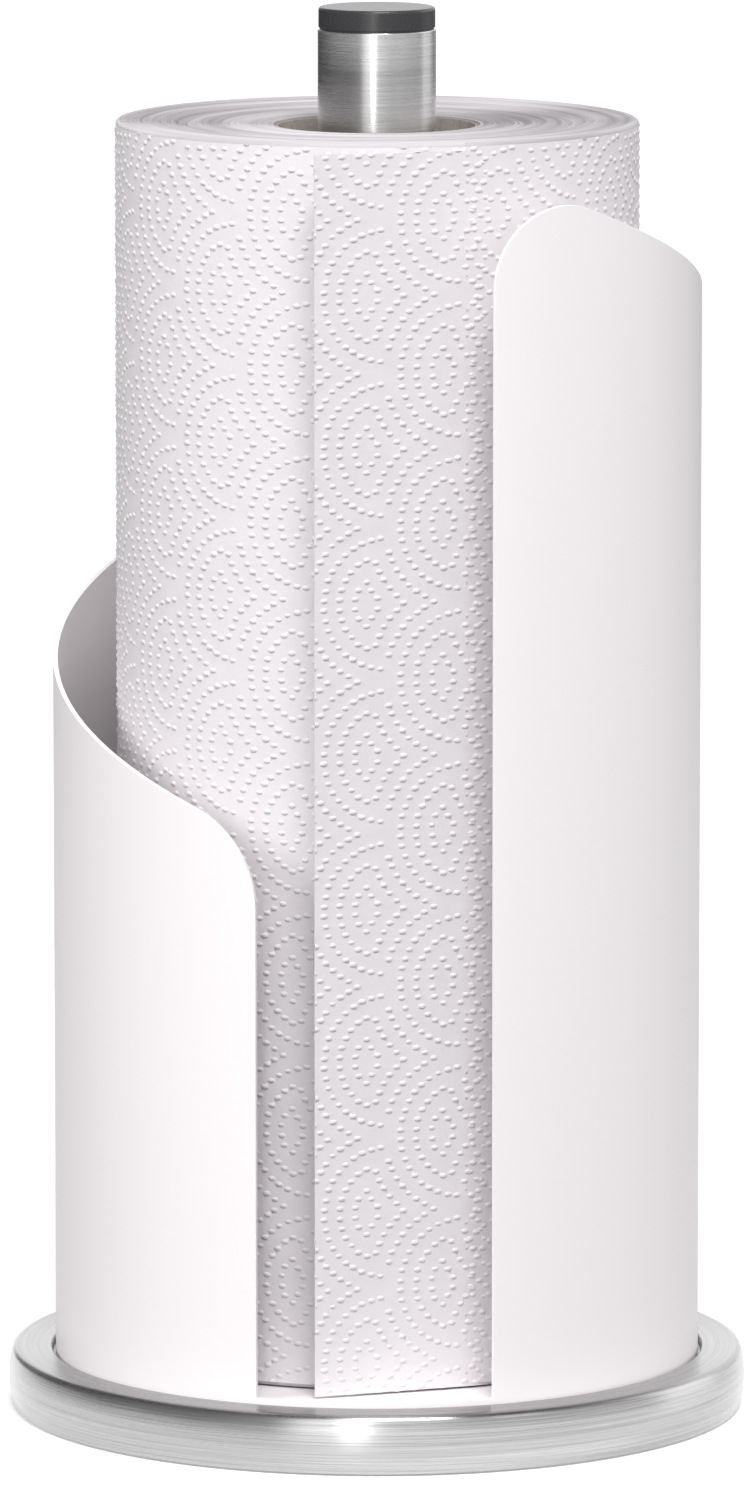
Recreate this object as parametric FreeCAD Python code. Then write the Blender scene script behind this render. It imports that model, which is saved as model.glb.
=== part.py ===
"""Counter-top holder for a kitchen roll.

A weighted steel base carries an open-fronted white sleeve and a steel post. The roll stands round the
post inside the sleeve, with its leading sheet loose in the opening.

Millimetres. +Z is up, the origin is the centre of the base's underside, and the opening faces -Y.
Bearings are degrees round the holder from its front, growing towards its right (+X).
"""
import FreeCAD, Part
import math
import os

# ---------------------------------------------------------------- driving dimensions

# Kitchen roll: the holder is sized round it
ROLL_RADIUS = 55.8
ROLL_HEIGHT = 262.5
ROLL_EDGE_RADIUS = 2.0         # softened upper rim
ROLL_DISH = 1.0                # fall of the top from rim to core
CORE_RADIUS = 20.8             # hole
CORE_PLY = 0.5
CORE_RECESS = 0.3              # ends of the core inside the ends of the paper
SHEET_THICKNESS = 0.4
SHEET_LEAVES_BEARING = 19.5    # where the loose sheet leaves the roll
SHEET_WRAP_ANGLE = 40.0        # part of the same sheet that still lies on the roll
SHEET_TOP_DROP = 1.6           # top of the loose sheet below the top of the roll
SHEET_BOTTOM_LIFT = 0.2        # bottom of the loose sheet above the bottom of the roll

# Room that the holder leaves the roll
PAPER_GAP = 12.1               # between the paper and the inside of the sleeve
POST_ABOVE_ROLL = 23.8         # top of the cap above the top of the roll
SLEEVE_BELOW_ROLL = 12.6       # highest point of the sleeve below the top of the roll

# Base
BASE_LEDGE = 10.0              # widest line of the base outside the sleeve
BASE_TOP_INSET = 0.9           # side of the shell inside the widest line, where the top edge starts
BASE_FOOT_INSET = 0.8          # side of the shell inside the widest line, at its lower edge
BASE_BULGE_HEIGHT = 5.5        # height of the widest line
BASE_EDGE_RADIUS = 1.5         # rounding of the shell's outer top edge
SHELL_SHEET = 0.8
SHELL_LIFT = 0.5               # lower edge of the shell above the counter
RECESS_DEPTH = 1.8             # from the flat ring down to the floor that the sleeve stands on
RECESS_EDGE_RADIUS = 0.6       # rounding of the recess's upper edge
RECESS_GAP = 0.7               # shadow gap round the sleeve
PAD_THICKNESS = 1.5            # anti-slip pad
PAD_INSET = 1.6                # edge of the pad inside the bottom cover's
COVER_SHEET = 1.0
BALLAST_THICKNESS = 7.7
BALLAST_CHAMFER = 1.0

# Sleeve
SLEEVE_SHEET = 1.0
GAP_RIGHT_BEARING = 20.7       # upright edge on the right of the opening
GAP_LEFT_BEARING = 338.5       # upright edge on the left of the opening
RAMP_ANGLE = 19.9              # slope of the top edge in the flat sheet
RIGHT_CORNER_RADIUS = 17.0     # in the flat sheet
LEFT_CORNER_RADIUS = 22.0      # in the flat sheet
LIP_HEIGHT = 0.4               # rim across the opening, above the white floor
FLOOR_SHEET = 1.2
FLOOR_FLANGE = 1.0             # turned-down rim of the floor, below its sheet
SEATING_PAD_THICKNESS = 1.2

# Post
POST_RADIUS = 12.5
POST_WALL = 1.0
CAP_HEIGHT = 4.7               # head of the cap, above the tube
CAP_STEP = 0.15                # head of the cap inside the tube's outside
CAP_EDGE_RADIUS = 0.6
CAP_GROOVE_HEIGHT = 0.4        # shadow line between tube and cap
CAP_GROOVE_DEPTH = 0.4
CAP_SPIGOT_LENGTH = 14.0
CAP_SPIGOT_WALL = 1.6
INSERT_LENGTH = 18.0
INSERT_CHAMFER = 0.5
SEAT_WASHER_THICKNESS = 0.5
SEAT_WASHER_OVERHANG = 1.5     # beyond the tube

# Fasteners
BOLT_RADIUS = 3.0              # M6
BOLT_ENGAGEMENT = 14.0         # thread inside the insert
BOLT_HEAD_RADIUS = 5.25
BOLT_HEAD_HEIGHT = 3.3
BOLT_HEAD_FLAT_RADIUS = 3.0    # flat crown of the domed head
BOLT_HEAD_RIM = 0.4            # straight edge of the head at its seat
BOLT_HEAD_BULGE = 0.4          # dome outside the straight line from crown to rim
BOLT_SOCKET_WIDTH = 4.0        # across the hexagon's flats
BOLT_SOCKET_DEPTH = 1.9
WASHER_RADIUS = 6.0
WASHER_THICKNESS = 1.6
LOCK_WASHER_RADIUS = 5.5
LOCK_WASHER_THICKNESS = 0.7
LOCK_WASHER_TEETH = 8
LOCK_WASHER_TOOTH_DEPTH = 1.2
SCREW_RADIUS = 1.5             # M3
SCREW_HEAD_RADIUS = 2.75
SCREW_HEAD_HEIGHT = 1.65
SCREW_CROSS_WIDTH = 0.6
SCREW_CROSS_LENGTH = 3.0
SCREW_CROSS_DEPTH = 1.0
SCREW_COUNT = 3
FLOOR_SCREW_LENGTH = 7.0
FLOOR_SCREW_CIRCLE = 40.0      # radius of the circle of floor screws
COVER_SCREW_LENGTH = 5.0
COVER_SCREW_CIRCLE = 60.0      # radius of the circle of cover screws

# Clearances
FIT_CLEARANCE = 0.1            # between pieces that are pushed or laid together
RUNNING_CLEARANCE = 0.05       # between the two plies of the core, where the roll turns
SLIDE_CLEARANCE = 0.05         # plugs in the tube, and threads in their holes
SCREW_HOLE_CLEARANCE = 0.2     # shafts that pass through a sheet
BOLT_HOLE_CLEARANCE = 0.3
COUNTERBORE_CLEARANCE = 1.0    # round the washers
BALLAST_CLEARANCE = 0.6        # ballast inside the shell's side
ROLL_LIFT = 0.3                # bottom of the roll above the white floor
SHEET_CLEARANCE = 2.7          # free edge of the loose sheet inside the sleeve, as the roll turns
THREAD_RUNOUT = 1.0            # blind holes beyond their screws

# ---------------------------------------------------------------- derived levels and radii

COVER_BOTTOM = PAD_THICKNESS
BALLAST_BOTTOM = COVER_BOTTOM + COVER_SHEET
BALLAST_TOP = BALLAST_BOTTOM + BALLAST_THICKNESS
RECESS_FLOOR = BALLAST_TOP + SHELL_SHEET
BASE_TOP = RECESS_FLOOR + RECESS_DEPTH
SLEEVE_FLOOR_UNDERSIDE = RECESS_FLOOR + SEATING_PAD_THICKNESS
SLEEVE_FLOOR = SLEEVE_FLOOR_UNDERSIDE + FLOOR_SHEET
LIP_TOP = SLEEVE_FLOOR + LIP_HEIGHT
ROLL_BOTTOM = SLEEVE_FLOOR + ROLL_LIFT
ROLL_TOP = ROLL_BOTTOM + ROLL_HEIGHT
SLEEVE_TOP = ROLL_TOP - SLEEVE_BELOW_ROLL
HOLDER_TOP = ROLL_TOP + POST_ABOVE_ROLL
TUBE_FOOT = SLEEVE_FLOOR + SEAT_WASHER_THICKNESS
TUBE_TOP = HOLDER_TOP - CAP_HEIGHT

SLEEVE_BORE = ROLL_RADIUS + PAPER_GAP
SLEEVE_RADIUS = SLEEVE_BORE + SLEEVE_SHEET
RECESS_RADIUS = SLEEVE_RADIUS + RECESS_GAP
BASE_RADIUS = SLEEVE_RADIUS + BASE_LEDGE
BASE_TOP_RADIUS = BASE_RADIUS - BASE_TOP_INSET
BASE_FOOT_RADIUS = BASE_RADIUS - BASE_FOOT_INSET
FLOOR_RADIUS = SLEEVE_BORE - FIT_CLEARANCE
SEATING_PAD_RADIUS = FLOOR_RADIUS - FLOOR_SHEET - FIT_CLEARANCE
SHELL_FOOT_BORE = BASE_FOOT_RADIUS - SHELL_SHEET
COVER_RADIUS = SHELL_FOOT_BORE - FIT_CLEARANCE
BALLAST_RADIUS = min(BASE_TOP_RADIUS, BASE_FOOT_RADIUS) - SHELL_SHEET - BALLAST_CLEARANCE
TUBE_BORE = POST_RADIUS - POST_WALL
PLUG_RADIUS = TUBE_BORE - SLIDE_CLEARANCE

HEAD_BOTTOM = COVER_BOTTOM + FIT_CLEARANCE
LOCK_WASHER_BOTTOM = HEAD_BOTTOM + BOLT_HEAD_HEIGHT
WASHER_BOTTOM = LOCK_WASHER_BOTTOM + LOCK_WASHER_THICKNESS
COUNTERBORE_CEILING = WASHER_BOTTOM + WASHER_THICKNESS
COUNTERBORE_RADIUS = WASHER_RADIUS + COUNTERBORE_CLEARANCE
BOLT_HOLE_RADIUS = BOLT_RADIUS + BOLT_HOLE_CLEARANCE

LINER_OUTSIDE = CORE_RADIUS + CORE_PLY
WRAP_INSIDE = LINER_OUTSIDE + RUNNING_CLEARANCE
WRAP_OUTSIDE = WRAP_INSIDE + CORE_PLY
PAPER_INSIDE = WRAP_OUTSIDE + RUNNING_CLEARANCE
SHEET_INSIDE = ROLL_RADIUS + RUNNING_CLEARANCE
SHEET_OUTSIDE = SHEET_INSIDE + SHEET_THICKNESS
SHEET_FREE_LENGTH = math.sqrt((SLEEVE_BORE - SHEET_CLEARANCE) ** 2 - SHEET_OUTSIDE ** 2)

ORIGIN = FreeCAD.Vector(0, 0, 0)
UP = FreeCAD.Vector(0, 0, 1)
DOWN = FreeCAD.Vector(0, 0, -1)

# ---------------------------------------------------------------- shapes used by several pieces


def on_circle(centre, radius, degrees):
    """Point (across, up) on a circle, with degrees counted from +across towards +up."""
    turn = math.radians(degrees)
    return (centre[0] + radius * math.cos(turn), centre[1] + radius * math.sin(turn))


def turned(start, *path):
    """Solid of revolution about Z from (radius, height) corners.

    A step of the path is the next corner, or a pair (point on the arc, end of the arc).
    """
    def place(corner):
        return FreeCAD.Vector(corner[0], 0, corner[1])

    edges = []
    here = start
    for step in path + (start,):
        if isinstance(step[0], tuple):
            edges.append(Part.Arc(place(here), place(step[0]), place(step[1])).toShape())
            here = step[1]
        else:
            edges.append(Part.makeLine(place(here), place(step)))
            here = step
    return Part.Face(Part.Wire(edges)).revolve(ORIGIN, UP, 360)


def disc(radius, bottom, top):
    """Solid cylinder between two heights."""
    return Part.makeCylinder(radius, top - bottom, UP * bottom)


def ring(bore, radius, bottom, top):
    """Tube between two heights."""
    return disc(radius, bottom, top).cut(disc(bore, bottom, top))


def round_about(shape, radius, first_bearing, count):
    """Copies of a shape built on the Z axis, spaced evenly on a circle."""
    copies = []
    for index in range(count):
        turn = math.radians(first_bearing + 360.0 * index / count)
        copy = shape.copy()
        copy.translate(FreeCAD.Vector(radius * math.sin(turn), -radius * math.cos(turn), 0))
        copies.append(copy)
    return copies


def countersunk(head_face, direction, length, clearance):
    """Countersunk screw, or with a clearance its hole, its head flush with a height.

    The shaft runs along direction (UP or DOWN) from the flush face.
    """
    start = UP * head_face
    shaft = Part.makeCylinder(SCREW_RADIUS + clearance, length, start, direction)
    head = Part.makeCone(SCREW_HEAD_RADIUS + clearance, SCREW_RADIUS + clearance, SCREW_HEAD_HEIGHT,
                         start, direction)
    return shaft.fuse(head)


def countersunk_screw(head_face, direction, length):
    """One countersunk screw with a cross recess."""
    screw = countersunk(head_face, direction, length, 0.0)
    low = head_face if direction.z > 0 else head_face - SCREW_CROSS_DEPTH
    for x, y in ((SCREW_CROSS_LENGTH, SCREW_CROSS_WIDTH), (SCREW_CROSS_WIDTH, SCREW_CROSS_LENGTH)):
        corner = FreeCAD.Vector(-x / 2, -y / 2, low)
        screw = screw.cut(Part.makeBox(x, y, SCREW_CROSS_DEPTH, corner))
    return screw


def floor_screw_holes(depth, clearance):
    """Cutters for the floor screws, from the white floor down."""
    hole = countersunk(SLEEVE_FLOOR, DOWN, depth, clearance)
    return round_about(hole, FLOOR_SCREW_CIRCLE, 0.0, SCREW_COUNT)


def cover_screw_holes(depth, clearance):
    """Cutters for the cover screws, from the cover's underside up."""
    hole = countersunk(COVER_BOTTOM, UP, depth, clearance)
    return round_about(hole, COVER_SCREW_CIRCLE, 180.0 / SCREW_COUNT, SCREW_COUNT)


# ---------------------------------------------------------------- base


def anti_slip_pad():
    """Rubber disc under the base: the holder stands on it."""
    return disc(COVER_RADIUS - PAD_INSET, 0.0, PAD_THICKNESS)


def bottom_cover():
    """Steel plate that closes the base."""
    plate = disc(COVER_RADIUS, COVER_BOTTOM, BALLAST_BOTTOM)
    access = disc(COUNTERBORE_RADIUS, COVER_BOTTOM, BALLAST_BOTTOM)
    return plate.cut([access] + cover_screw_holes(COVER_SCREW_LENGTH, SCREW_HOLE_CLEARANCE))


def cover_screws():
    """Countersunk screws from below, through the cover into the ballast."""
    screw = countersunk_screw(COVER_BOTTOM, UP, COVER_SCREW_LENGTH)
    return Part.makeCompound(round_about(screw, COVER_SCREW_CIRCLE, 180.0 / SCREW_COUNT, SCREW_COUNT))


def ballast_disc():
    """Cast iron weight with a counterbored centre hole and blind tapped holes."""
    edge = BALLAST_CHAMFER
    body = turned((0.0, BALLAST_BOTTOM), (BALLAST_RADIUS - edge, BALLAST_BOTTOM),
                  (BALLAST_RADIUS, BALLAST_BOTTOM + edge), (BALLAST_RADIUS, BALLAST_TOP - edge),
                  (BALLAST_RADIUS - edge, BALLAST_TOP), (0.0, BALLAST_TOP))
    counterbore = disc(COUNTERBORE_RADIUS, BALLAST_BOTTOM, COUNTERBORE_CEILING)
    through = disc(BOLT_HOLE_RADIUS, BALLAST_BOTTOM, BALLAST_TOP)
    tapped_top = floor_screw_holes(FLOOR_SCREW_LENGTH + THREAD_RUNOUT, SLIDE_CLEARANCE)
    tapped_bottom = cover_screw_holes(COVER_SCREW_LENGTH + THREAD_RUNOUT, SLIDE_CLEARANCE)
    return body.cut([counterbore, through] + tapped_top + tapped_bottom)


def shell_block(inset):
    """The base's outer form, or with an inset the form of the space inside its sheet."""
    top = BASE_TOP - inset
    floor = RECESS_FLOOR - inset
    recess = RECESS_RADIUS + inset
    lower = SHELL_LIFT
    side = BASE_TOP_RADIUS - inset
    outer_round = BASE_EDGE_RADIUS - min(inset, BASE_EDGE_RADIUS / 2)
    inner_round = RECESS_EDGE_RADIUS
    outer_centre = (side - outer_round, top - outer_round)
    inner_centre = (recess + inner_round, top - inner_round)
    return turned((0.0, lower), (BASE_FOOT_RADIUS - inset, lower),
                  ((BASE_RADIUS - inset, BASE_BULGE_HEIGHT), (side, outer_centre[1])),
                  (on_circle(outer_centre, outer_round, 45), (outer_centre[0], top)),
                  (inner_centre[0], top),
                  (on_circle(inner_centre, inner_round, 135), (recess, inner_centre[1])),
                  (recess, floor), (0.0, floor))


def base_shell():
    """Pressed steel cover: bulged side, flat ring and the recess that the sleeve stands in."""
    shell = shell_block(0.0).cut(shell_block(SHELL_SHEET))
    centre_hole = disc(BOLT_HOLE_RADIUS, SHELL_LIFT, BASE_TOP)
    return shell.cut([centre_hole] + floor_screw_holes(FLOOR_SCREW_LENGTH, SCREW_HOLE_CLEARANCE))


# ---------------------------------------------------------------- sleeve


def seating_pad():
    """Foam disc between the steel recess and the white floor."""
    pad = disc(SEATING_PAD_RADIUS, RECESS_FLOOR, SLEEVE_FLOOR_UNDERSIDE)
    centre_hole = disc(BOLT_HOLE_RADIUS, RECESS_FLOOR, SLEEVE_FLOOR_UNDERSIDE)
    return pad.cut([centre_hole] + floor_screw_holes(FLOOR_SCREW_LENGTH, SCREW_HOLE_CLEARANCE))


def floor_disc():
    """White floor of the sleeve, with a turned-down flange that is spot-welded to it."""
    sheet = disc(FLOOR_RADIUS, SLEEVE_FLOOR_UNDERSIDE, SLEEVE_FLOOR)
    flange = ring(FLOOR_RADIUS - FLOOR_SHEET, FLOOR_RADIUS,
                  SLEEVE_FLOOR_UNDERSIDE - FLOOR_FLANGE, SLEEVE_FLOOR_UNDERSIDE)
    centre_hole = disc(BOLT_HOLE_RADIUS, SLEEVE_FLOOR_UNDERSIDE, SLEEVE_FLOOR)
    holes = [centre_hole] + floor_screw_holes(FLOOR_SCREW_LENGTH, SCREW_HOLE_CLEARANCE)
    return sheet.fuse(flange).removeSplitter().cut(holes)


def floor_screws():
    """Countersunk screws from above, through floor, pad and shell into the ballast."""
    screw = countersunk_screw(SLEEVE_FLOOR, DOWN, FLOOR_SCREW_LENGTH)
    return Part.makeCompound(round_about(screw, FLOOR_SCREW_CIRCLE, 0.0, SCREW_COUNT))


def wrapped_line(surface, start, end):
    """Straight line of the flat sheet, from (round, height) to (round, height), laid on the cylinder."""
    radius = surface.Radius
    ends = [FreeCAD.Base.Vector2d(round_mm / radius, height) for round_mm, height in (start, end)]
    return Part.Geom2d.Line2dSegment(*ends).toShape(surface)


def wrapped_arc(surface, centre, arc_radius, first, last):
    """Arc of the flat sheet laid on the cylinder, between two angles in degrees."""
    steps = 16
    points = []
    for index in range(steps + 1):
        degrees = first + (last - first) * index / steps
        round_mm, height = on_circle(centre, arc_radius, degrees)
        points.append(FreeCAD.Base.Vector2d(round_mm / surface.Radius, height))
    curve = Part.Geom2d.BSplineCurve2d()
    curve.interpolate(points)
    return curve.toShape(surface)


def sleeve_panel():
    """The upright sheet. Its outline is drawn flat, wrapped on the outside cylinder and thickened."""
    surface = Part.Cylinder()
    surface.Radius = SLEEVE_RADIUS
    right = math.radians(GAP_RIGHT_BEARING) * SLEEVE_RADIUS
    left = math.radians(GAP_LEFT_BEARING) * SLEEVE_RADIUS
    slope = math.tan(math.radians(RAMP_ANGLE))
    right_run = RIGHT_CORNER_RADIUS / math.tan(math.radians(90 - RAMP_ANGLE) / 2)
    left_run = LEFT_CORNER_RADIUS / math.tan(math.radians(90 + RAMP_ANGLE) / 2)

    right_centre = (right + RIGHT_CORNER_RADIUS, SLEEVE_TOP - RIGHT_CORNER_RADIUS)
    sharp_corner = right_centre[1] + right_run
    left_centre = (left - LEFT_CORNER_RADIUS, sharp_corner - slope * (left - right) - left_run)
    ramp_normal = 90 - RAMP_ANGLE
    ramp_start = on_circle(right_centre, RIGHT_CORNER_RADIUS, ramp_normal)
    ramp_end = on_circle(left_centre, LEFT_CORNER_RADIUS, ramp_normal)

    outline = [
        wrapped_line(surface, (right, RECESS_FLOOR), (right, right_centre[1])),
        wrapped_arc(surface, right_centre, RIGHT_CORNER_RADIUS, 180, ramp_normal),
        wrapped_line(surface, ramp_start, ramp_end),
        wrapped_arc(surface, left_centre, LEFT_CORNER_RADIUS, ramp_normal, 0),
        wrapped_line(surface, (left, left_centre[1]), (left, RECESS_FLOOR)),
        wrapped_line(surface, (left, RECESS_FLOOR), (right, RECESS_FLOOR)),
    ]
    sheet = Part.Face(surface, Part.Wire(outline))
    panel = sheet.makeOffsetShape(-SLEEVE_SHEET, 1e-4, fill=True)
    panel.rotate(ORIGIN, UP, -90)
    return panel


def sleeve():
    """White sheet sleeve: the panel on a continuous lip that closes the hoop at the bottom."""
    lip = ring(SLEEVE_BORE, SLEEVE_RADIUS, RECESS_FLOOR, LIP_TOP)
    return lip.fuse(sleeve_panel()).removeSplitter()


# ---------------------------------------------------------------- post


def post_seat_washer():
    """Nylon washer that keeps the tube off the paint."""
    return ring(BOLT_HOLE_RADIUS, POST_RADIUS + SEAT_WASHER_OVERHANG, SLEEVE_FLOOR, TUBE_FOOT)


def post_tube():
    """Brushed steel tube."""
    return ring(TUBE_BORE, POST_RADIUS, TUBE_FOOT, TUBE_TOP)


def post_insert():
    """Threaded steel plug pressed into the tube's foot."""
    top = TUBE_FOOT + INSERT_LENGTH
    chamfer = INSERT_CHAMFER
    thread = BOLT_RADIUS + SLIDE_CLEARANCE
    return turned((thread, TUBE_FOOT), (PLUG_RADIUS, TUBE_FOOT), (PLUG_RADIUS, top - chamfer),
                  (PLUG_RADIUS - chamfer, top), (thread, top))


def post_bolt():
    """Domed socket bolt from below that pulls the post down on the base."""
    seat = LOCK_WASHER_BOTTOM
    tip = TUBE_FOOT + BOLT_ENGAGEMENT
    dome_end = seat - BOLT_HEAD_RIM
    dome_mid = ((BOLT_HEAD_FLAT_RADIUS + BOLT_HEAD_RADIUS) / 2 + BOLT_HEAD_BULGE,
                (HEAD_BOTTOM + dome_end) / 2 - BOLT_HEAD_BULGE)
    bolt = turned((0.0, HEAD_BOTTOM), (BOLT_HEAD_FLAT_RADIUS, HEAD_BOTTOM),
                  (dome_mid, (BOLT_HEAD_RADIUS, dome_end)), (BOLT_HEAD_RADIUS, seat),
                  (BOLT_RADIUS, seat), (BOLT_RADIUS, tip - INSERT_CHAMFER),
                  (BOLT_RADIUS - INSERT_CHAMFER, tip), (0.0, tip))
    corner_radius = BOLT_SOCKET_WIDTH / math.sqrt(3)
    corners = [on_circle((0.0, 0.0), corner_radius, 60 * index) for index in range(6)]
    hexagon = Part.makePolygon([FreeCAD.Vector(x, y, HEAD_BOTTOM) for x, y in corners + corners[:1]])
    return bolt.cut(Part.Face(hexagon).extrude(UP * BOLT_SOCKET_DEPTH))


def bolt_lock_washer():
    """Toothed lock washer on the bolt's head."""
    washer = ring(BOLT_HOLE_RADIUS, LOCK_WASHER_RADIUS, LOCK_WASHER_BOTTOM, WASHER_BOTTOM)
    notch_width = math.pi * LOCK_WASHER_RADIUS / LOCK_WASHER_TEETH / 2
    notch_start = LOCK_WASHER_RADIUS - LOCK_WASHER_TOOTH_DEPTH
    corner = FreeCAD.Vector(notch_start, -notch_width / 2, LOCK_WASHER_BOTTOM)
    notches = []
    for index in range(LOCK_WASHER_TEETH):
        notch = Part.makeBox(2 * LOCK_WASHER_TOOTH_DEPTH, notch_width, LOCK_WASHER_THICKNESS, corner)
        notch.rotate(ORIGIN, UP, 360.0 * index / LOCK_WASHER_TEETH)
        notches.append(notch)
    return washer.cut(notches)


def bolt_washer():
    """Flat washer between the lock washer and the ballast."""
    return ring(BOLT_HOLE_RADIUS, WASHER_RADIUS, WASHER_BOTTOM, COUNTERBORE_CEILING)


def post_cap():
    """Dark plastic plug: a head with a shadow groove under it and a hollow spigot in the tube."""
    head = POST_RADIUS - CAP_STEP
    neck = POST_RADIUS - CAP_GROOVE_DEPTH
    edge = CAP_EDGE_RADIUS
    centre = (head - edge, HOLDER_TOP - edge)
    groove_top = TUBE_TOP + CAP_GROOVE_HEIGHT
    spigot_end = TUBE_TOP - CAP_SPIGOT_LENGTH
    spigot_bore = PLUG_RADIUS - CAP_SPIGOT_WALL
    return turned((0.0, HOLDER_TOP), (centre[0], HOLDER_TOP),
                  (on_circle(centre, edge, 45), (head, centre[1])),
                  (head, groove_top), (neck, groove_top), (neck, TUBE_TOP),
                  (PLUG_RADIUS, TUBE_TOP), (PLUG_RADIUS, spigot_end + INSERT_CHAMFER),
                  (PLUG_RADIUS - INSERT_CHAMFER, spigot_end), (spigot_bore, spigot_end),
                  (spigot_bore, TUBE_TOP), (0.0, TUBE_TOP))


# ---------------------------------------------------------------- kitchen roll


def core_liner():
    """Inner ply of the cardboard core: it rides on the post, and the roll turns about it."""
    return ring(CORE_RADIUS, LINER_OUTSIDE, ROLL_BOTTOM + CORE_RECESS, ROLL_TOP - ROLL_DISH - CORE_RECESS)


def core_wrap():
    """Outer ply of the cardboard core, glued into the paper."""
    return ring(WRAP_INSIDE, WRAP_OUTSIDE, ROLL_BOTTOM + CORE_RECESS, ROLL_TOP - ROLL_DISH - CORE_RECESS)


def paper_roll():
    """The wound paper, its top dished a little towards the core."""
    edge = ROLL_EDGE_RADIUS
    centre = (ROLL_RADIUS - edge, ROLL_TOP - edge)
    return turned((PAPER_INSIDE, ROLL_BOTTOM), (ROLL_RADIUS, ROLL_BOTTOM), (ROLL_RADIUS, centre[1]),
                  (on_circle(centre, edge, 45), (centre[0], ROLL_TOP)),
                  (PAPER_INSIDE, ROLL_TOP - ROLL_DISH))


def towel_end():
    """Leading sheet: it lies on the roll for a while, then leaves it in a straight line."""
    bottom = ROLL_BOTTOM + SHEET_BOTTOM_LIFT
    top = ROLL_TOP - SHEET_TOP_DROP
    leave = SHEET_LEAVES_BEARING - 90
    begin = leave + SHEET_WRAP_ANGLE
    direction = on_circle((0.0, 0.0), 1.0, leave - 90)

    def corners(radius):
        """Start, middle and end of the part on the roll, and the end of the free part."""
        on_roll = [on_circle((0.0, 0.0), radius, angle) for angle in (begin, (begin + leave) / 2, leave)]
        end = (on_roll[2][0] + SHEET_FREE_LENGTH * direction[0],
               on_roll[2][1] + SHEET_FREE_LENGTH * direction[1])
        return [FreeCAD.Vector(x, y, bottom) for x, y in on_roll + [end]]

    inner = corners(SHEET_INSIDE)
    outer = corners(SHEET_OUTSIDE)
    outline = Part.Wire([
        Part.Arc(inner[0], inner[1], inner[2]).toShape(),
        Part.makeLine(inner[2], inner[3]),
        Part.makeLine(inner[3], outer[3]),
        Part.makeLine(outer[3], outer[2]),
        Part.Arc(outer[2], outer[1], outer[0]).toShape(),
        Part.makeLine(outer[0], inner[0]),
    ])
    return Part.Face(outline).extrude(UP * (top - bottom))


# ---------------------------------------------------------------- output

PIECES = [
    anti_slip_pad, bottom_cover, cover_screws, ballast_disc, base_shell,
    seating_pad, floor_disc, floor_screws, sleeve,
    post_seat_washer, post_tube, post_insert, post_bolt, bolt_lock_washer, bolt_washer, post_cap,
    core_liner, core_wrap, paper_roll, towel_end,
]


def main():
    os.makedirs("parts", exist_ok=True)
    for piece in PIECES:
        shape = piece()
        shape.exportStep(os.path.join("parts", piece.__name__ + ".step"))
        print(piece.__name__, len(shape.Solids), shape.isValid(), round(shape.Volume, 1))


main()
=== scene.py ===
"""Builds the looks of a counter-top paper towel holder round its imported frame.

Metres throughout, in the frame's own axes: +Z up, the opening faces -Y. Bearings are degrees round the
holder from its front, growing towards its right (+X).
"""

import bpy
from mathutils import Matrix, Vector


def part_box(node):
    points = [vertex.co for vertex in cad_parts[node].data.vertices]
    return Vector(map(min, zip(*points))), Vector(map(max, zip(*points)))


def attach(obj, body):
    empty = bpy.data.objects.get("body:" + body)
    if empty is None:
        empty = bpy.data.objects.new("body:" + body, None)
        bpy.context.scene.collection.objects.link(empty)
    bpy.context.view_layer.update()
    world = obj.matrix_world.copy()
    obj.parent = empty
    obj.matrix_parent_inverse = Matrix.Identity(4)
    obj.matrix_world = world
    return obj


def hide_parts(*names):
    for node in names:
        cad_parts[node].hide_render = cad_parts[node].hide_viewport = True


bl_info = {
    "name": "Paper Towel Holder",
    "version": (1, 0, 0),
    "blender": (4, 5, 0),
    "location": "View3D > Sidebar > Towel Holder",
    "description": "Steel base, white sleeve, post and kitchen roll, modelled round the holder's frame",
    "category": "Add Mesh",
}

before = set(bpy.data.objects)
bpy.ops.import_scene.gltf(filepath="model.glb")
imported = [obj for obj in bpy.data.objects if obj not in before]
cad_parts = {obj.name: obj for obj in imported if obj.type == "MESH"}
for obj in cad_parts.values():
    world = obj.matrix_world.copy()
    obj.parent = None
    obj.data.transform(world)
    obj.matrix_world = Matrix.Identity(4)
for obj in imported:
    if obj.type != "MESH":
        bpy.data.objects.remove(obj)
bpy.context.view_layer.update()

import functools
import math

import bmesh
import bpy
import numpy as np
from bpy.props import FloatProperty, FloatVectorProperty, IntProperty, PointerProperty
from mathutils import Vector
from mathutils.geometry import delaunay_2d_cdt

MM = 0.001
ROUND_SEGMENTS = 192
WHITE = (1.0, 1.0, 1.0, 1.0)

# ---------------------------------------------------------------- sizes read from the frame


def top_of(node):
    """Height of a node's highest point."""
    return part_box(node)[1][2]


def bottom_of(node):
    """Height of a node's lowest point."""
    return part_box(node)[0][2]


def radius_of(node):
    """Outside radius of a node turned about the Z axis."""
    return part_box(node)[1][0]


# ---------------------------------------------------------------- what a user would change


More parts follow.
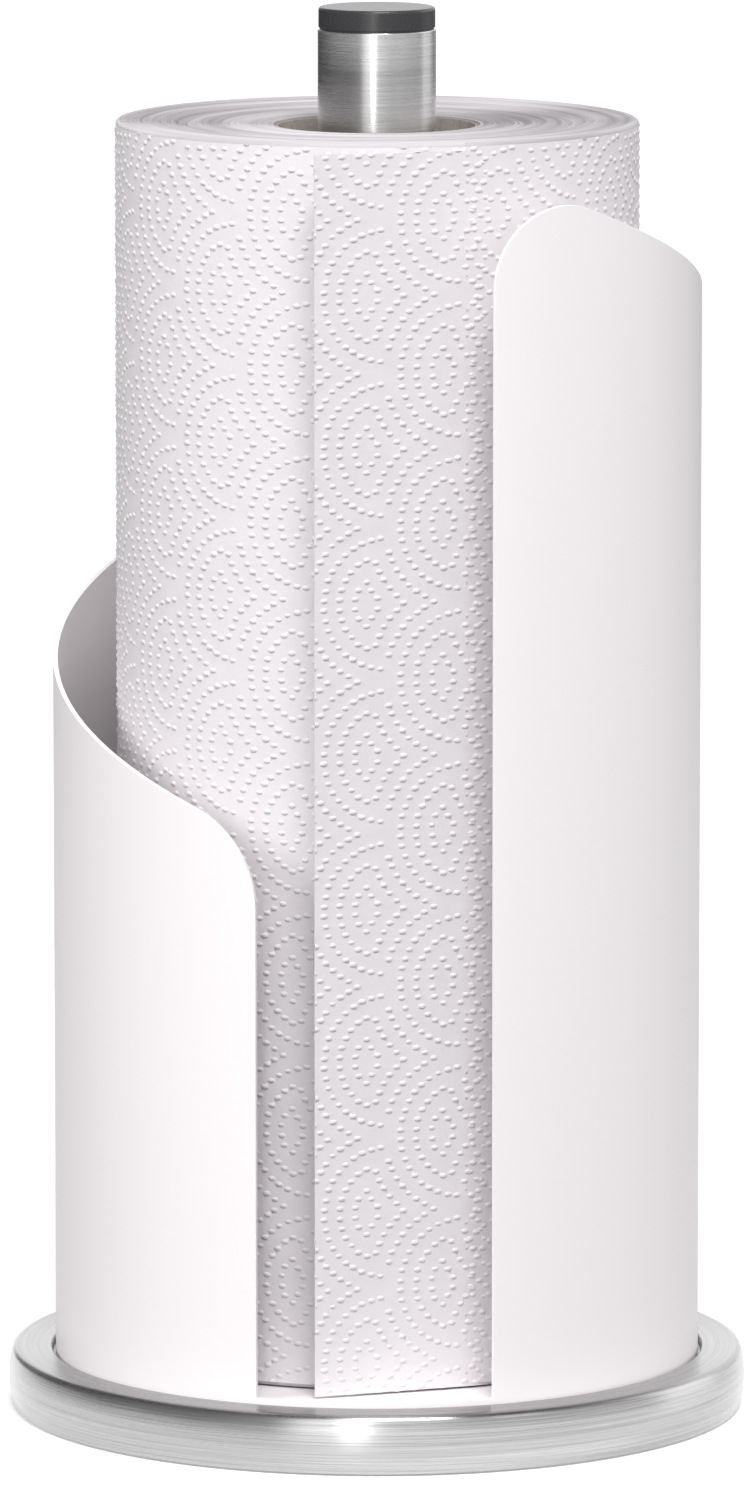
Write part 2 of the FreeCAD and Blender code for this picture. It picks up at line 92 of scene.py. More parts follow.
class TOWELHOLDER_PG_sizes(bpy.types.PropertyGroup):
    """Sizes of details that the frame leaves plain."""

    sheet_edge: FloatProperty(
        name="Sheet Edge", description="Rounding of the sleeve's cut edges",
        default=0.28 * MM, unit="LENGTH")
    gap_right: FloatProperty(
        name="Opening Right", description="Bearing of the sleeve's right upright edge",
        default=math.radians(20.7), subtype="ANGLE")
    gap_left: FloatProperty(
        name="Opening Left", description="Bearing of the sleeve's left upright edge",
        default=math.radians(338.5), subtype="ANGLE")
    ramp: FloatProperty(
        name="Ramp", description="Slope of the sleeve's top edge in the flat sheet",
        default=math.radians(19.9), subtype="ANGLE")
    right_corner: FloatProperty(
        name="Right Corner", description="Radius of the sleeve's high corner in the flat sheet",
        default=17.0 * MM, unit="LENGTH")
    left_corner: FloatProperty(
        name="Left Corner", description="Radius of the sleeve's low corner in the flat sheet",
        default=22.0 * MM, unit="LENGTH")
    lip_height: FloatProperty(
        name="Lip Height", description="Rim of the sleeve across the opening, above its floor",
        default=0.4 * MM, unit="LENGTH")
    tube_edge: FloatProperty(
        name="Tube Edge", description="Rounding of the post tube's ends",
        default=0.15 * MM, unit="LENGTH")


class TOWELHOLDER_PG_paper(bpy.types.PropertyGroup):
    """Sizes of the embossed paper."""

    pitch_round: FloatProperty(
        name="Pitch Round", description="Distance between two like columns of the embossing",
        default=33.8 * MM, unit="LENGTH")
    pitch_up: FloatProperty(
        name="Pitch Up", description="Distance between two motifs of one column",
        default=32.1 * MM, unit="LENGTH")
    first_ring: FloatProperty(
        name="First Ring", description="Radius of a motif's innermost ring of dots",
        default=3.3 * MM, unit="LENGTH")
    ring_pitch: FloatProperty(
        name="Ring Pitch", description="Distance from one ring of dots to the next",
        default=3.45 * MM, unit="LENGTH")
    ring_count: IntProperty(
        name="Rings", description="Rings of dots in a motif", default=8, min=1)
    dot_pitch: FloatProperty(
        name="Dot Pitch", description="Distance between two dots of a ring",
        default=2.15 * MM, unit="LENGTH")
    dot_width: FloatProperty(
        name="Dot Width", description="Width of a dot round the roll", default=2.05 * MM, unit="LENGTH")
    dot_height: FloatProperty(
        name="Dot Height", description="Height of a dot up the roll", default=1.3 * MM, unit="LENGTH")
    dot_rise: FloatProperty(
        name="Dot Rise", description="How far a dot stands out of the paper",
        default=0.30 * MM, unit="LENGTH")
    turn_pitch: FloatProperty(
        name="Turn Pitch", description="Distance between two turns on the end of the roll",
        default=0.5 * MM, unit="LENGTH")
    rim: FloatProperty(
        name="Rim", description="Softened upper rim of the roll", default=0.8 * MM, unit="LENGTH")
    leaves: FloatProperty(
        name="Leaves", description="Bearing at which the loose sheet leaves the roll",
        default=math.radians(19.5), subtype="ANGLE")
    sheet: FloatProperty(
        name="Sheet", description="Thickness of the paper", default=0.32 * MM, unit="LENGTH")
    roll_phase: FloatProperty(
        name="Roll Phase", description="Shift of the embossing round the roll",
        default=28.4 * MM, unit="LENGTH")
    sheet_phase: FloatProperty(
        name="Sheet Phase", description="Shift of the embossing along the loose sheet",
        default=16.1 * MM, unit="LENGTH")
    height_phase: FloatProperty(
        name="Height Phase", description="Shift of the embossing up the paper",
        default=20.35 * MM, unit="LENGTH")
    dish: FloatProperty(
        name="Dish", description="Fall of the roll's top from rim to core", default=1.0 * MM, unit="LENGTH")
    free_reach: FloatProperty(
        name="Free Reach", description="Distance of the loose sheet's edge from the post's axis",
        default=64.7 * MM, unit="LENGTH")
    wrap: FloatProperty(
        name="Wrap", description="Part of the loose sheet that still lies on the roll",
        default=8.0 * MM, unit="LENGTH")


class TOWELHOLDER_PG_colours(bpy.types.PropertyGroup):
    """Colours of the finishes."""

    steel: FloatVectorProperty(
        name="Steel", description="Brushed stainless steel", subtype="COLOR", size=4,
        default=(0.60, 0.60, 0.60, 1.0))
    white: FloatVectorProperty(
        name="White", description="Powder coat of the sleeve", subtype="COLOR", size=4,
        default=(0.87, 0.835, 0.845, 1.0))
    paper: FloatVectorProperty(
        name="Paper", description="Kitchen paper", subtype="COLOR", size=4,
        default=(0.745, 0.714, 0.737, 1.0))
    board: FloatVectorProperty(
        name="Board", description="Cardboard of the core", subtype="COLOR", size=4,
        default=(0.46, 0.41, 0.37, 1.0))
    cap: FloatVectorProperty(
        name="Cap", description="Plastic of the post's cap", subtype="COLOR", size=4,
        default=(0.036, 0.036, 0.038, 1.0))


class TOWELHOLDER_PG_studio(bpy.types.PropertyGroup):
    """Camera and light."""

    camera_distance: FloatProperty(
        name="Camera Distance", description="From the post's axis to the camera",
        default=2.408, unit="LENGTH")
    camera_height: FloatProperty(
        name="Camera Height", description="From the counter to the camera", default=0.5035, unit="LENGTH")
    camera_pitch: FloatProperty(
        name="Camera Pitch", description="How far the camera looks down",
        default=math.radians(8.554), subtype="ANGLE")
    focal_length: FloatProperty(
        name="Focal Length", description="Lens in millimetres on a 36 mm sensor", default=274.23)


# ---------------------------------------------------------------- mesh building


def link_object(name, data):
    """A new object in the scene, at the origin."""
    linked = bpy.data.objects.new(name, data)
    bpy.context.scene.collection.objects.link(linked)
    return linked


def evaluated_mesh(source):
    """Mesh of an object with its modifiers applied. The object is removed."""
    evaluated = source.evaluated_get(bpy.context.evaluated_depsgraph_get())
    mesh = bpy.data.meshes.new_from_object(evaluated)
    bpy.data.objects.remove(source)
    return mesh


def finish_mesh(name, verts, faces, material, sharp=40):
    """An object at the origin with smooth faces, split where they turn by more than sharp degrees."""
    mesh = bpy.data.meshes.new(name)
    mesh.from_pydata(verts, [], faces)
    mesh.update()
    mesh.polygons.foreach_set("use_smooth", [True] * len(mesh.polygons))
    mesh.set_sharp_from_angle(angle=math.radians(sharp))
    mesh.materials.append(material)
    return link_object(name, mesh)


def turn_outwards(piece):
    """Recalculates the normals of a closed mesh so that its faces point outwards."""
    grid = bmesh.new()
    grid.from_mesh(piece.data)
    bmesh.ops.recalc_face_normals(grid, faces=grid.faces)
    grid.to_mesh(piece.data)
    grid.free()


SUPPORT_SHARE = 0.25         # how far beyond a rounding its support points lie, in roundings
AXIS_RADIUS = 1e-7           # an outline point nearer to the axis than this lies on it


def rounded(corners, steps=6):
    """Closed outline of (radius, height) points from (radius, height, rounding) corners.

    Each rounding has a support point beyond each end, so that flats beside it stay flat.
    """
    outline = []
    count = len(corners)
    for index, (radius, height, fillet) in enumerate(corners):
        here = Vector((radius, height))
        if fillet <= 0:
            outline.append(here)
            continue
        before = (Vector(corners[index - 1][:2]) - here).normalized()
        after = (Vector(corners[(index + 1) % count][:2]) - here).normalized()
        half = before.angle(after) / 2
        reach = fillet / math.tan(half)
        centre = here + (before + after).normalized() * fillet / math.sin(half)
        support = fillet * SUPPORT_SHARE
        first = here + before * reach
        last = here + after * reach
        outline.append(first + before * support)
        for step in range(steps + 1):
            blend = first.lerp(last, step / steps) - centre
            outline.append(centre + blend.normalized() * fillet)
        outline.append(last + after * support)
    return [(point.x, point.y) for point in outline]


def lathe(outline, segments=ROUND_SEGMENTS):
    """Vertices and faces of a closed outline turned about Z. Points on the axis become poles."""
    verts = []
    rings = []
    for radius, height in outline:
        if radius < AXIS_RADIUS:
            rings.append([len(verts)])
            verts.append((0.0, 0.0, height))
            continue
        rings.append(list(range(len(verts), len(verts) + segments)))
        for index in range(segments):
            turn = 2 * math.pi * index / segments
            verts.append((radius * math.cos(turn), radius * math.sin(turn), height))
    faces = []
    for ring, following in zip(rings, rings[1:] + rings[:1]):
        for index in range(segments):
            after = (index + 1) % segments
            if len(ring) == 1 and len(following) == 1:
                break
            if len(ring) == 1:
                faces.append((ring[0], following[index], following[after]))
            elif len(following) == 1:
                faces.append((ring[index], following[0], ring[after]))
            else:
                faces.append((ring[index], following[index], following[after], ring[after]))
    return verts, faces


def turned_piece(name, outline, material):
    """A lathe piece with its faces pointing outwards."""
    verts, faces = lathe(outline)
    piece = finish_mesh(name, verts, faces, material)
    turn_outwards(piece)
    return piece


def dress(node, material):
    """Gives a CAD node that keeps its shape a finish of its own."""
    node_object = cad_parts[node]
    for slot in node_object.material_slots:
        slot.material = material
    if not node_object.material_slots:
        node_object.data.materials.append(material)


# ---------------------------------------------------------------- materials


class Tree:
    """A node tree under construction: short names for making and joining its nodes."""

    def __init__(self, tree):
        self.nodes = tree.nodes
        self.links = tree.links

    def feed(self, socket, value):
        """Joins a node's output to a socket, or writes a plain value into it."""
        if isinstance(value, bpy.types.NodeSocket):
            self.links.new(value, socket)
        else:
            socket.default_value = value

    def make(self, kind, output=0, **inputs):
        """A node's output, with the node's sockets fed by name: scale=..., from_min=..."""
        node = self.nodes.new(kind)
        for key, value in inputs.items():
            self.feed(node.inputs[key.replace("_", " ").title()], value)
        return node.outputs[output]

    def math(self, operation, first, second=0.0):
        node = self.nodes.new("ShaderNodeMath")
        node.operation = operation
        for socket, value in zip(node.inputs, (first, second)):
            self.feed(socket, value)
        return node.outputs[0]

    def average(self, first, second, share):
        """The share of the first value and the rest of the second one."""
        rest = self.math("MULTIPLY", second, 1.0 - share)
        return self.math("ADD", self.math("MULTIPLY", first, share), rest)

    def noise(self, vector, scale, detail=2.0, roughness=0.5):
        return self.make("ShaderNodeTexNoise", "Fac", vector=vector, scale=scale, detail=detail,
                         roughness=roughness)

    def remap(self, value, low, high, from_low=0.3, from_high=0.7):
        return self.make("ShaderNodeMapRange", "Result", value=value, from_min=from_low, from_max=from_high,
                         to_min=low, to_max=high)

    def blend(self, factor, first, second):
        node = self.nodes.new("ShaderNodeMix")
        node.data_type = "RGBA"
        self.feed(node.inputs["Factor"], factor)
        self.feed(node.inputs["A"], first)
        self.feed(node.inputs["B"], second)
        return node.outputs["Result"]


class Finish(Tree):
    """A material under construction, with its shader and its object coordinates."""

    def __init__(self, name):
        self.material = bpy.data.materials.new(name)
        self.material.use_nodes = True
        super().__init__(self.material.node_tree)
        self.shader = self.nodes["Principled BSDF"]
        self.position = self.nodes.new("ShaderNodeTexCoord").outputs["Object"]

    def set(self, **values):
        """Sets the shader's own sockets: base_color=..., roughness=..."""
        for key, value in values.items():
            socket = key.replace("_", " ").title().replace("Ior", "IOR")
            self.shader.inputs[socket].default_value = value

    def bump(self, height, strength, distance, under=None):
        node = self.nodes.new("ShaderNodeBump")
        node.inputs["Strength"].default_value = strength
        node.inputs["Distance"].default_value = distance
        self.feed(node.inputs["Height"], height)
        if under is not None:
            self.links.new(under, node.inputs["Normal"])
        return node.outputs["Normal"]

    def join(self, output, socket):
        self.links.new(output, self.shader.inputs[socket])

    def tint(self, pattern, colour, dark, light, from_low=0.3, from_high=0.7):
        """Colours the surface between a darker and a lighter shade of a colour, as a pattern says."""
        factor = self.remap(pattern, 0.0, 1.0, from_low, from_high)
        self.join(self.blend(factor, shade(colour, dark), shade(colour, light)), "Base Color")

    def round_streaks(self, length, width):
        """Streaks that run round the Z axis, on flats and on sides alike."""
        split = self.nodes.new("ShaderNodeSeparateXYZ")
        self.links.new(self.position, split.inputs[0])
        flat = self.nodes.new("ShaderNodeCombineXYZ")
        for axis in ("X", "Y"):
            self.links.new(split.outputs[axis], flat.inputs[axis])
        distance = self.nodes.new("ShaderNodeVectorMath")
        distance.operation = "LENGTH"
        self.links.new(flat.outputs[0], distance.inputs[0])
        across = self.math("ADD", distance.outputs["Value"], split.outputs["Z"])
        vector = self.nodes.new("ShaderNodeCombineXYZ")
        for axis in ("X", "Y"):
            self.links.new(self.math("DIVIDE", split.outputs[axis], length), vector.inputs[axis])
        self.links.new(self.math("DIVIDE", across, width), vector.inputs["Z"])
        return vector.outputs[0]


def shade(colour, factor):
    """A colour made lighter or darker."""
    return (*(min(1.0, part * factor) for part in colour[:3]), 1.0)


def brushed_steel(name, colour, streak_length, streak_width, contrast):
    """Stainless steel brushed round its axis."""
    finish = Finish(name)
    finish.set(metallic=1.0, anisotropic=0.85, anisotropic_rotation=0.25)
    fine = finish.noise(finish.round_streaks(streak_length, streak_width), 1.0, 3.0, 0.6)
    broad = finish.noise(finish.round_streaks(streak_length * 2.5, streak_width * 5), 1.0, 2.0, 0.5)
    both = finish.average(fine, broad, 0.65)
    finish.tint(both, colour, 1.0 - contrast, 1.0 + 0.7 * contrast)
    finish.join(finish.remap(both, 0.20, 0.32), "Roughness")
    tangent = finish.nodes.new("ShaderNodeTangent")
    tangent.direction_type = "RADIAL"
    tangent.axis = "Z"
    finish.join(tangent.outputs[0], "Tangent")
    finish.join(finish.bump(fine, 0.12, 0.02 * MM), "Normal")
    return finish.material


def powder_coat(name, colour):
    """Satin white powder coat with a fine orange peel."""
    finish = Finish(name)
    finish.set(base_color=colour, specular_ior_level=0.3)
    peel = finish.noise(finish.position, 900.0, 2.0, 0.45)
    pores = finish.noise(finish.position, 3800.0, 1.0, 0.5)
    finish.join(finish.remap(peel, 0.42, 0.54), "Roughness")
    normal = finish.bump(peel, 0.10, 0.05 * MM)
    finish.join(finish.bump(pores, 0.05, 0.02 * MM, normal), "Normal")
    return finish.material


def kitchen_paper(name, colour):
    """Soft tissue: matt, with short fibres and a little mottling."""
    finish = Finish(name)
    finish.set(roughness=0.95, sheen_weight=0.15, sheen_roughness=0.6, specular_ior_level=0.2)
    fibre = finish.noise(finish.position, 2600.0, 4.0, 0.7)
    cloud = finish.noise(finish.position, 160.0, 3.0, 0.6)
    finish.tint(finish.average(fibre, cloud, 0.6), colour, 0.93, 1.03)
    normal = finish.bump(cloud, 0.25, 0.4 * MM)
    finish.join(finish.bump(fibre, 0.35, 0.08 * MM, normal), "Normal")
    return finish.material


def cut_paper_painted_shade(name, colour):
    """The end of the roll: thousands of cut edges, in rings that stand a little tighter or looser, coloured
    darker than the paper as painted shade between the windings.
    """
    finish = Finish(name)
    finish.set(roughness=0.95, specular_ior_level=0.15)
    turns = finish.noise(finish.round_streaks(60.0 * MM, 1.5 * MM), 1.0, 2.0, 0.6)
    bands = finish.noise(finish.round_streaks(90.0 * MM, 4.6 * MM), 1.0, 2.0, 0.5)
    # Colour from 0.72 to 1.10 of the already darkened paper colour: painted shade between the windings,
    # lighter and darker ring by ring.
    finish.tint(finish.average(turns, bands, 0.5), colour, 0.72, 1.10, 0.38, 0.62)
    finish.join(finish.bump(turns, 0.5, 0.25 * MM), "Normal")
    return finish.material


def core_board(name, colour):
    """Grey-brown cardboard with fibres and flecks."""
    finish = Finish(name)
    finish.set(roughness=0.9, specular_ior_level=0.2)
    fibre = finish.noise(finish.position, 1800.0, 4.0, 0.7)
    fleck = finish.noise(finish.position, 420.0, 3.0, 0.6)
    ground = finish.blend(finish.remap(fibre, 0.0, 1.0), shade(colour, 0.82), shade(colour, 1.15))
    flecks = finish.remap(fleck, 0.0, 0.35, 0.55, 0.72)
    finish.join(finish.blend(flecks, ground, shade(colour, 0.6)), "Base Color")
    finish.join(finish.bump(fibre, 0.4, 0.08 * MM), "Normal")
    return finish.material


def moulded_plastic(name, colour, roughness, grain):
    """Moulded plastic with a fine spark-eroded grain."""
    finish = Finish(name)
    finish.set(base_color=colour)
    spark = finish.noise(finish.position, 1.0 / grain, 2.0, 0.5)
    finish.join(finish.remap(spark, roughness - 0.04, roughness + 0.05), "Roughness")
    finish.join(finish.bump(spark, 0.12, 0.03 * MM), "Normal")
    return finish.material


def plain_metal(name, colour, roughness, mottle_scale):
    """Rolled or plated metal with a faint mottle."""
    finish = Finish(name)
    finish.set(metallic=1.0)
    mottle = finish.noise(finish.position, mottle_scale, 4.0, 0.6)
    finish.tint(mottle, colour, 0.85, 1.08)
    finish.join(finish.remap(mottle, roughness - 0.06, roughness + 0.08), "Roughness")
    return finish.material


def sand_casting(name, colour):
    """Lacquered iron with a sand-cast skin."""
    finish = Finish(name)
    finish.set(base_color=colour, metallic=0.3)
    sand = finish.noise(finish.position, 1100.0, 5.0, 0.7)
    finish.join(finish.remap(sand, 0.5, 0.7), "Roughness")
    finish.join(finish.bump(sand, 0.6, 0.3 * MM), "Normal")
    return finish.material


def soft_sheet(name, colour, cell):
    """Rubber or foam with a fine cell pattern."""
    finish = Finish(name)
    finish.set(base_color=colour, roughness=0.85)
    cells = finish.make("ShaderNodeTexVoronoi", "Distance", vector=finish.position, scale=1.0 / cell)
    finish.join(finish.bump(cells, 0.4, 0.15 * MM), "Normal")
    return finish.material


# ---------------------------------------------------------------- embossed paper

MOTIF_REACH = 31.2 * MM      # two motifs meet where their distances from a point add up to this
MOTIF_DISC = 15.0 * MM       # a motif always keeps what lies this near its centre
CENTRE_DROP = 0.45           # how far a motif's middle dot lies below its centre, in first rings
DOTS_APART = 0.74            # least distance between two dots, in dot pitches
DOT_SIDES = 8
DOT_SHOULDER = (0.78, 0.42, 0.68 * math.pi)    # a dot's shoulder: share of its width, rise and slope
DOT_STRAY = 0.06 * MM        # how far a dot strays from its place
CORNER_STRAY = 0.012 * MM    # how far a dot's corners stray from its outline
RAGGED = 6.0 * MM            # how far a tile's outline may stray from a straight cut
TILE_EDGE = 2.0 * MM         # what a tile's triangles need beyond that
CUT_DISTANCE = 1e-6          # a vertex nearer to a cut than this lies on it
END_SPACING = 1.0 * MM       # between two vertices of a row on the roll's ends
END_STEP = 0.05 * MM         # between the embossing's edge and the row that thins it
RIM_STEPS = 4
ROLL_GAP = 0.35 * MM         # from the embossing's ground to the outside of the frame's roll
CORE_GAP = 0.05 * MM         # from the core's outer ply to the paper
SHEET_STAND = 0.06 * MM      # from the roll's ground to the loose sheet that lies on it
SHEET_SINK = 0.6 * MM        # how deep the loose sheet's fixed end goes into the roll


def motif_centre(paper, column, row):
    """Centre of a motif in the flat sheet. Odd columns are half a pitch higher."""
    return (column * paper.pitch_round / 2, (row + 0.5 * (column % 2)) * paper.pitch_up)


def motif_at(paper, across, up):
    """Column and row of the motif that covers a point: the rightmost that reaches it, or None."""
    def nearest(column):
        row = round(up / paper.pitch_up - 0.5 * (column % 2))
        centre = motif_centre(paper, column, row)
        return row, math.hypot(across - centre[0], up - centre[1])

    found = None
    start = math.floor(2 * across / paper.pitch_round) - 2
    for column in range(start, start + 6):
        row, distance = nearest(column)
        left_distance = nearest(column - 1)[1]
        if distance + left_distance < MOTIF_REACH or distance < MOTIF_DISC:
            found = (column, row)
    return found


def tile_dots(paper):
    """Dots of one tile of the embossing and of a strip round it, as (across, up) in the flat sheet."""
    strip = 4.0 * MM
    wide, high = paper.pitch_round, paper.pitch_up
    candidates = []
    for column in range(-3, 6):
        for row in range(-2, 4):
            centre = motif_centre(paper, column, row)
            spots = [(0, -CENTRE_DROP * paper.first_ring, 0.0)]
            for ring in range(paper.ring_count):
                radius = paper.first_ring + ring * paper.ring_pitch
                count = round(2 * math.pi * radius / paper.dot_pitch)
                turns = [math.pi + 2 * math.pi * (index + 0.5) / count for index in range(count)]
                spots += [(ring, radius * math.cos(turn), radius * math.sin(turn)) for turn in turns]
            for ring, right, above in spots:
                across, up = centre[0] + right, centre[1] + above
                near = -strip < across < wide + strip and -strip < up < high + strip
                if near and motif_at(paper, across, up) == (column, row):
                    candidates.append((ring, across, up))
    candidates.sort(key=lambda dot: dot[0])
    dots = []
    apart = (DOTS_APART * paper.dot_pitch) ** 2
    for _, across, up in candidates:
        if all((across - x) ** 2 + (up - y) ** 2 > apart for x, y in dots):
            dots.append((across, up))
    return dots


def tile_mesh(paper):
    """One tile of embossed paper, flat in X and Z, its dots standing out along +Y.

    The triangles come from a mesh over the tile and its neighbours, so that tiles join without a gap.
    """
    margin = RAGGED + TILE_EDGE
    wide, high = paper.pitch_round, paper.pitch_up
    levels = [(0.0, 1.0, 0.0, 1), (*DOT_SHOULDER, DOT_SIDES), (1.0, 0.0, 0.0, DOT_SIDES)]
    draw = np.random.default_rng(3)
    half_width, half_height = paper.dot_width / 2, paper.dot_height / 2
    one_dot = []
    for share, rise, slope, sides in levels:
        for side in range(sides):
            turn = 2 * math.pi * side / sides
            across, up = math.cos(turn), math.sin(turn)
            lean = Vector((slope * paper.dot_rise * across / half_width, 1.0,
                           slope * paper.dot_rise * up / half_height)).normalized()
            one_dot.append((share * half_width * across, share * half_height * up, rise, lean))
    points = []
    rises = []
    leans = []
    for across, up in tile_dots(paper):
        if not (0 <= across < wide and 0 <= up < high):
            continue
        across, up = (across, up) + draw.normal(0.0, DOT_STRAY, 2)
        size, swell = draw.normal(1.0, 0.06), paper.dot_rise * draw.normal(1.0, 0.12)
        uneven = draw.normal(0.0, CORNER_STRAY, (len(one_dot), 2))
        for shift_x in (-wide, 0.0, wide):
            for shift_y in (-high, 0.0, high):
                x, y = across + shift_x, up + shift_y
                if not (-margin < x < wide + margin and -margin < y < high + margin):
                    continue
                for (right, above, rise, lean), (dx, dy) in zip(one_dot, uneven):
                    points.append(Vector((x + size * right + dx, y + size * above + dy)))
                    rises.append(rise * swell)
                    leans.append(lean)
    flat, _, triangles, _, _, _ = delaunay_2d_cdt(points, [], [], 0, 1e-7)
    chosen = []
    for triangle in triangles:
        middle = sum((flat[i] for i in triangle), Vector((0.0, 0.0))) / 3
        if 0 <= middle.x < wide and 0 <= middle.y < high:
            chosen.append(triangle)
    used = sorted({i for triangle in chosen for i in triangle})
    renumber = {old: new for new, old in enumerate(used)}
    mesh = bpy.data.meshes.new("paper tile")
    mesh.from_pydata([(flat[i].x, rises[i], flat[i].y) for i in used], [],
                     [[renumber[i] for i in triangle] for triangle in chosen])
    mesh.update()
    mesh.attributes.new("lean", "FLOAT_VECTOR", "POINT").data.foreach_set(
        "vector", [number for i in used for number in leans[i]])
    return mesh


def repeat_tree():
    """Geometry Nodes: repeats the object's own mesh across and up, and joins the copies."""
    tree = bpy.data.node_groups.new("Repeat Tile", "GeometryNodeTree")
    face = tree.interface
    face.new_socket("Geometry", in_out="INPUT", socket_type="NodeSocketGeometry")
    inputs = {}
    for label, kind in (("Columns", "NodeSocketInt"), ("Rows", "NodeSocketInt"),
                        ("Pitch Round", "NodeSocketFloat"), ("Pitch Up", "NodeSocketFloat"),
                        ("Material", "NodeSocketMaterial")):
        inputs[label] = face.new_socket(label, in_out="INPUT", socket_type=kind)
    face.new_socket("Geometry", in_out="OUTPUT", socket_type="NodeSocketGeometry")
    nodes, links = tree.nodes, tree.links
    given = nodes.new("NodeGroupInput")
    line = {}
    for label, count, pitch, axis in (("across", "Columns", "Pitch Round", "X"),
                                      ("up", "Rows", "Pitch Up", "Z")):
        offset = nodes.new("ShaderNodeCombineXYZ")
        links.new(given.outputs[pitch], offset.inputs[axis])
        line[label] = nodes.new("GeometryNodeMeshLine")
        links.new(given.outputs[count], line[label].inputs["Count"])
        links.new(offset.outputs[0], line[label].inputs["Offset"])
    row = nodes.new("GeometryNodeInstanceOnPoints")
    links.new(line["across"].outputs[0], row.inputs["Points"])
    links.new(given.outputs["Geometry"], row.inputs["Instance"])
    field = nodes.new("GeometryNodeInstanceOnPoints")
    links.new(line["up"].outputs[0], field.inputs["Points"])
    links.new(row.outputs[0], field.inputs["Instance"])
    realize = nodes.new("GeometryNodeRealizeInstances")
    links.new(field.outputs[0], realize.inputs[0])
    weld = nodes.new("GeometryNodeMergeByDistance")
    weld.inputs["Distance"].default_value = 0.005 * MM
    links.new(realize.outputs[0], weld.inputs["Geometry"])
    paint = nodes.new("GeometryNodeSetMaterial")
    links.new(weld.outputs[0], paint.inputs["Geometry"])
    links.new(given.outputs["Material"], paint.inputs["Material"])
    result = nodes.new("NodeGroupOutput")
    links.new(paint.outputs[0], result.inputs[0])
    return tree, {label: socket.identifier for label, socket in inputs.items()}


@functools.cache
def paper_tile():
    """Mesh of the tile, the tree that repeats it and that tree's inputs, made once."""
    return tile_mesh(bpy.context.scene.towel_paper), *repeat_tree()


def embossed_field(start, length, bottom, height, phase, material):
    """Flat embossed paper from start to start + length across and from bottom up, cut to size."""
    paper = bpy.context.scene.towel_paper
    tile, tree, socket = paper_tile()
    wide, high = paper.pitch_round, paper.pitch_up
    first_column = math.floor((start - phase - RAGGED) / wide)
    first_row = math.floor((bottom - paper.height_phase - RAGGED) / high)
    field = link_object("paper field", tile)
    modifier = field.modifiers.new("Repeat", "NODES")
    modifier.node_group = tree
    modifier[socket["Columns"]] = math.ceil((start + length - phase + RAGGED) / wide) - first_column
    modifier[socket["Rows"]] = math.ceil((bottom + height - paper.height_phase + RAGGED) / high) - first_row
    modifier[socket["Pitch Round"]] = wide
    modifier[socket["Pitch Up"]] = high
    modifier[socket["Material"]] = material
    mesh = evaluated_mesh(field)
    grid = bmesh.new()
    grid.from_mesh(mesh)
    bpy.data.meshes.remove(mesh)
    bmesh.ops.translate(grid, verts=grid.verts, vec=(
        first_column * wide + phase, 0.0, first_row * high + paper.height_phase))
    for point, normal in (((start, 0, 0), (-1, 0, 0)), ((start + length, 0, 0), (1, 0, 0)),
                          ((0, 0, bottom), (0, 0, -1)), ((0, 0, bottom + height), (0, 0, 1))):
        whole = grid.verts[:] + grid.edges[:] + grid.faces[:]
        bmesh.ops.bisect_plane(grid, geom=whole, dist=CUT_DISTANCE, plane_co=point, plane_no=normal,
                               clear_outer=True)
    bmesh.ops.triangulate(grid, faces=[f for f in grid.faces if len(f.verts) > 3])
    return grid


def row_at(grid, height):
    """Vertices of a flat field at a height, from left to right."""
    return sorted((v for v in grid.verts if abs(v.co.z - height) < 2 * CUT_DISTANCE), key=lambda v: v.co.x)


def thin_row(grid, row, spacing, height):
    """Joins a row of vertices to an evenly spaced one at another height. Returns the new row."""
    first, last = row[0].co.x, row[-1].co.x
    count = round((last - first) / spacing)
    new = [grid.verts.new((first + (last - first) * i / count, 0.0, height)) for i in range(count + 1)]
    i = j = 0
    while i < len(row) - 1 or j < count:
        along_row = row[i + 1].co.x if i < len(row) - 1 else math.inf
        along_new = new[j + 1].co.x if j < count else math.inf
        if along_row < along_new:
            grid.faces.new((row[i], row[i + 1], new[j]))
            i += 1
        else:
            grid.faces.new((row[i], new[j + 1], new[j]))
            j += 1
    return new


def grow(grid, row, depth, height):
    """Joins a row of vertices to a new one further in and at another height. Returns the new row."""
    new = [grid.verts.new((v.co.x, -depth, height)) for v in row]
    for i in range(len(row) - 1):
        grid.faces.new((row[i], row[i + 1], new[i + 1], new[i]))
    return new


def rim_profile(paper, height):
    """Outline over the softened rim of an end of the roll, as (depth in from the outside, height)."""
    turns = [math.pi / 2 * step / RIM_STEPS for step in range(1, RIM_STEPS + 1)]
    return [(paper.rim * (1 - math.cos(turn)), height - paper.rim * (1 - math.sin(turn))) for turn in turns]


def winding_profile(paper, thickness, height):
    """Outline on over the roll's top: windings that stand higher or lower and fall towards the core."""
    draw = np.random.default_rng(11)
    outline = []
    drift = 0.0
    for index in range(int((thickness - paper.rim) / paper.turn_pitch)):
        depth = paper.rim + index * paper.turn_pitch
        drift = 0.75 * drift + draw.normal(0.0, 0.16) * MM
        level = height - paper.dish * depth / thickness + min(0.0, drift)
        outline.append((depth + 0.25 * paper.turn_pitch, level - 0.20 * MM))
        outline.append((depth + 0.75 * paper.turn_pitch, level + 0.05 * MM))
    outline.append((thickness, height - paper.dish))
    return outline


def turn_lean(grid, vert, turn):
    """Turns a vertex's normal from the flat sheet to its bearing round the Z axis."""
    layer = grid.verts.layers.float_vector["lean"]
    across, out, up = vert[layer]
    vert[layer] = (across * math.cos(turn) + out * math.sin(turn),
                   across * math.sin(turn) - out * math.cos(turn), up)


EDGE_ON = 0.4                # below this cosine a face is an edge of the paper and keeps its own normal


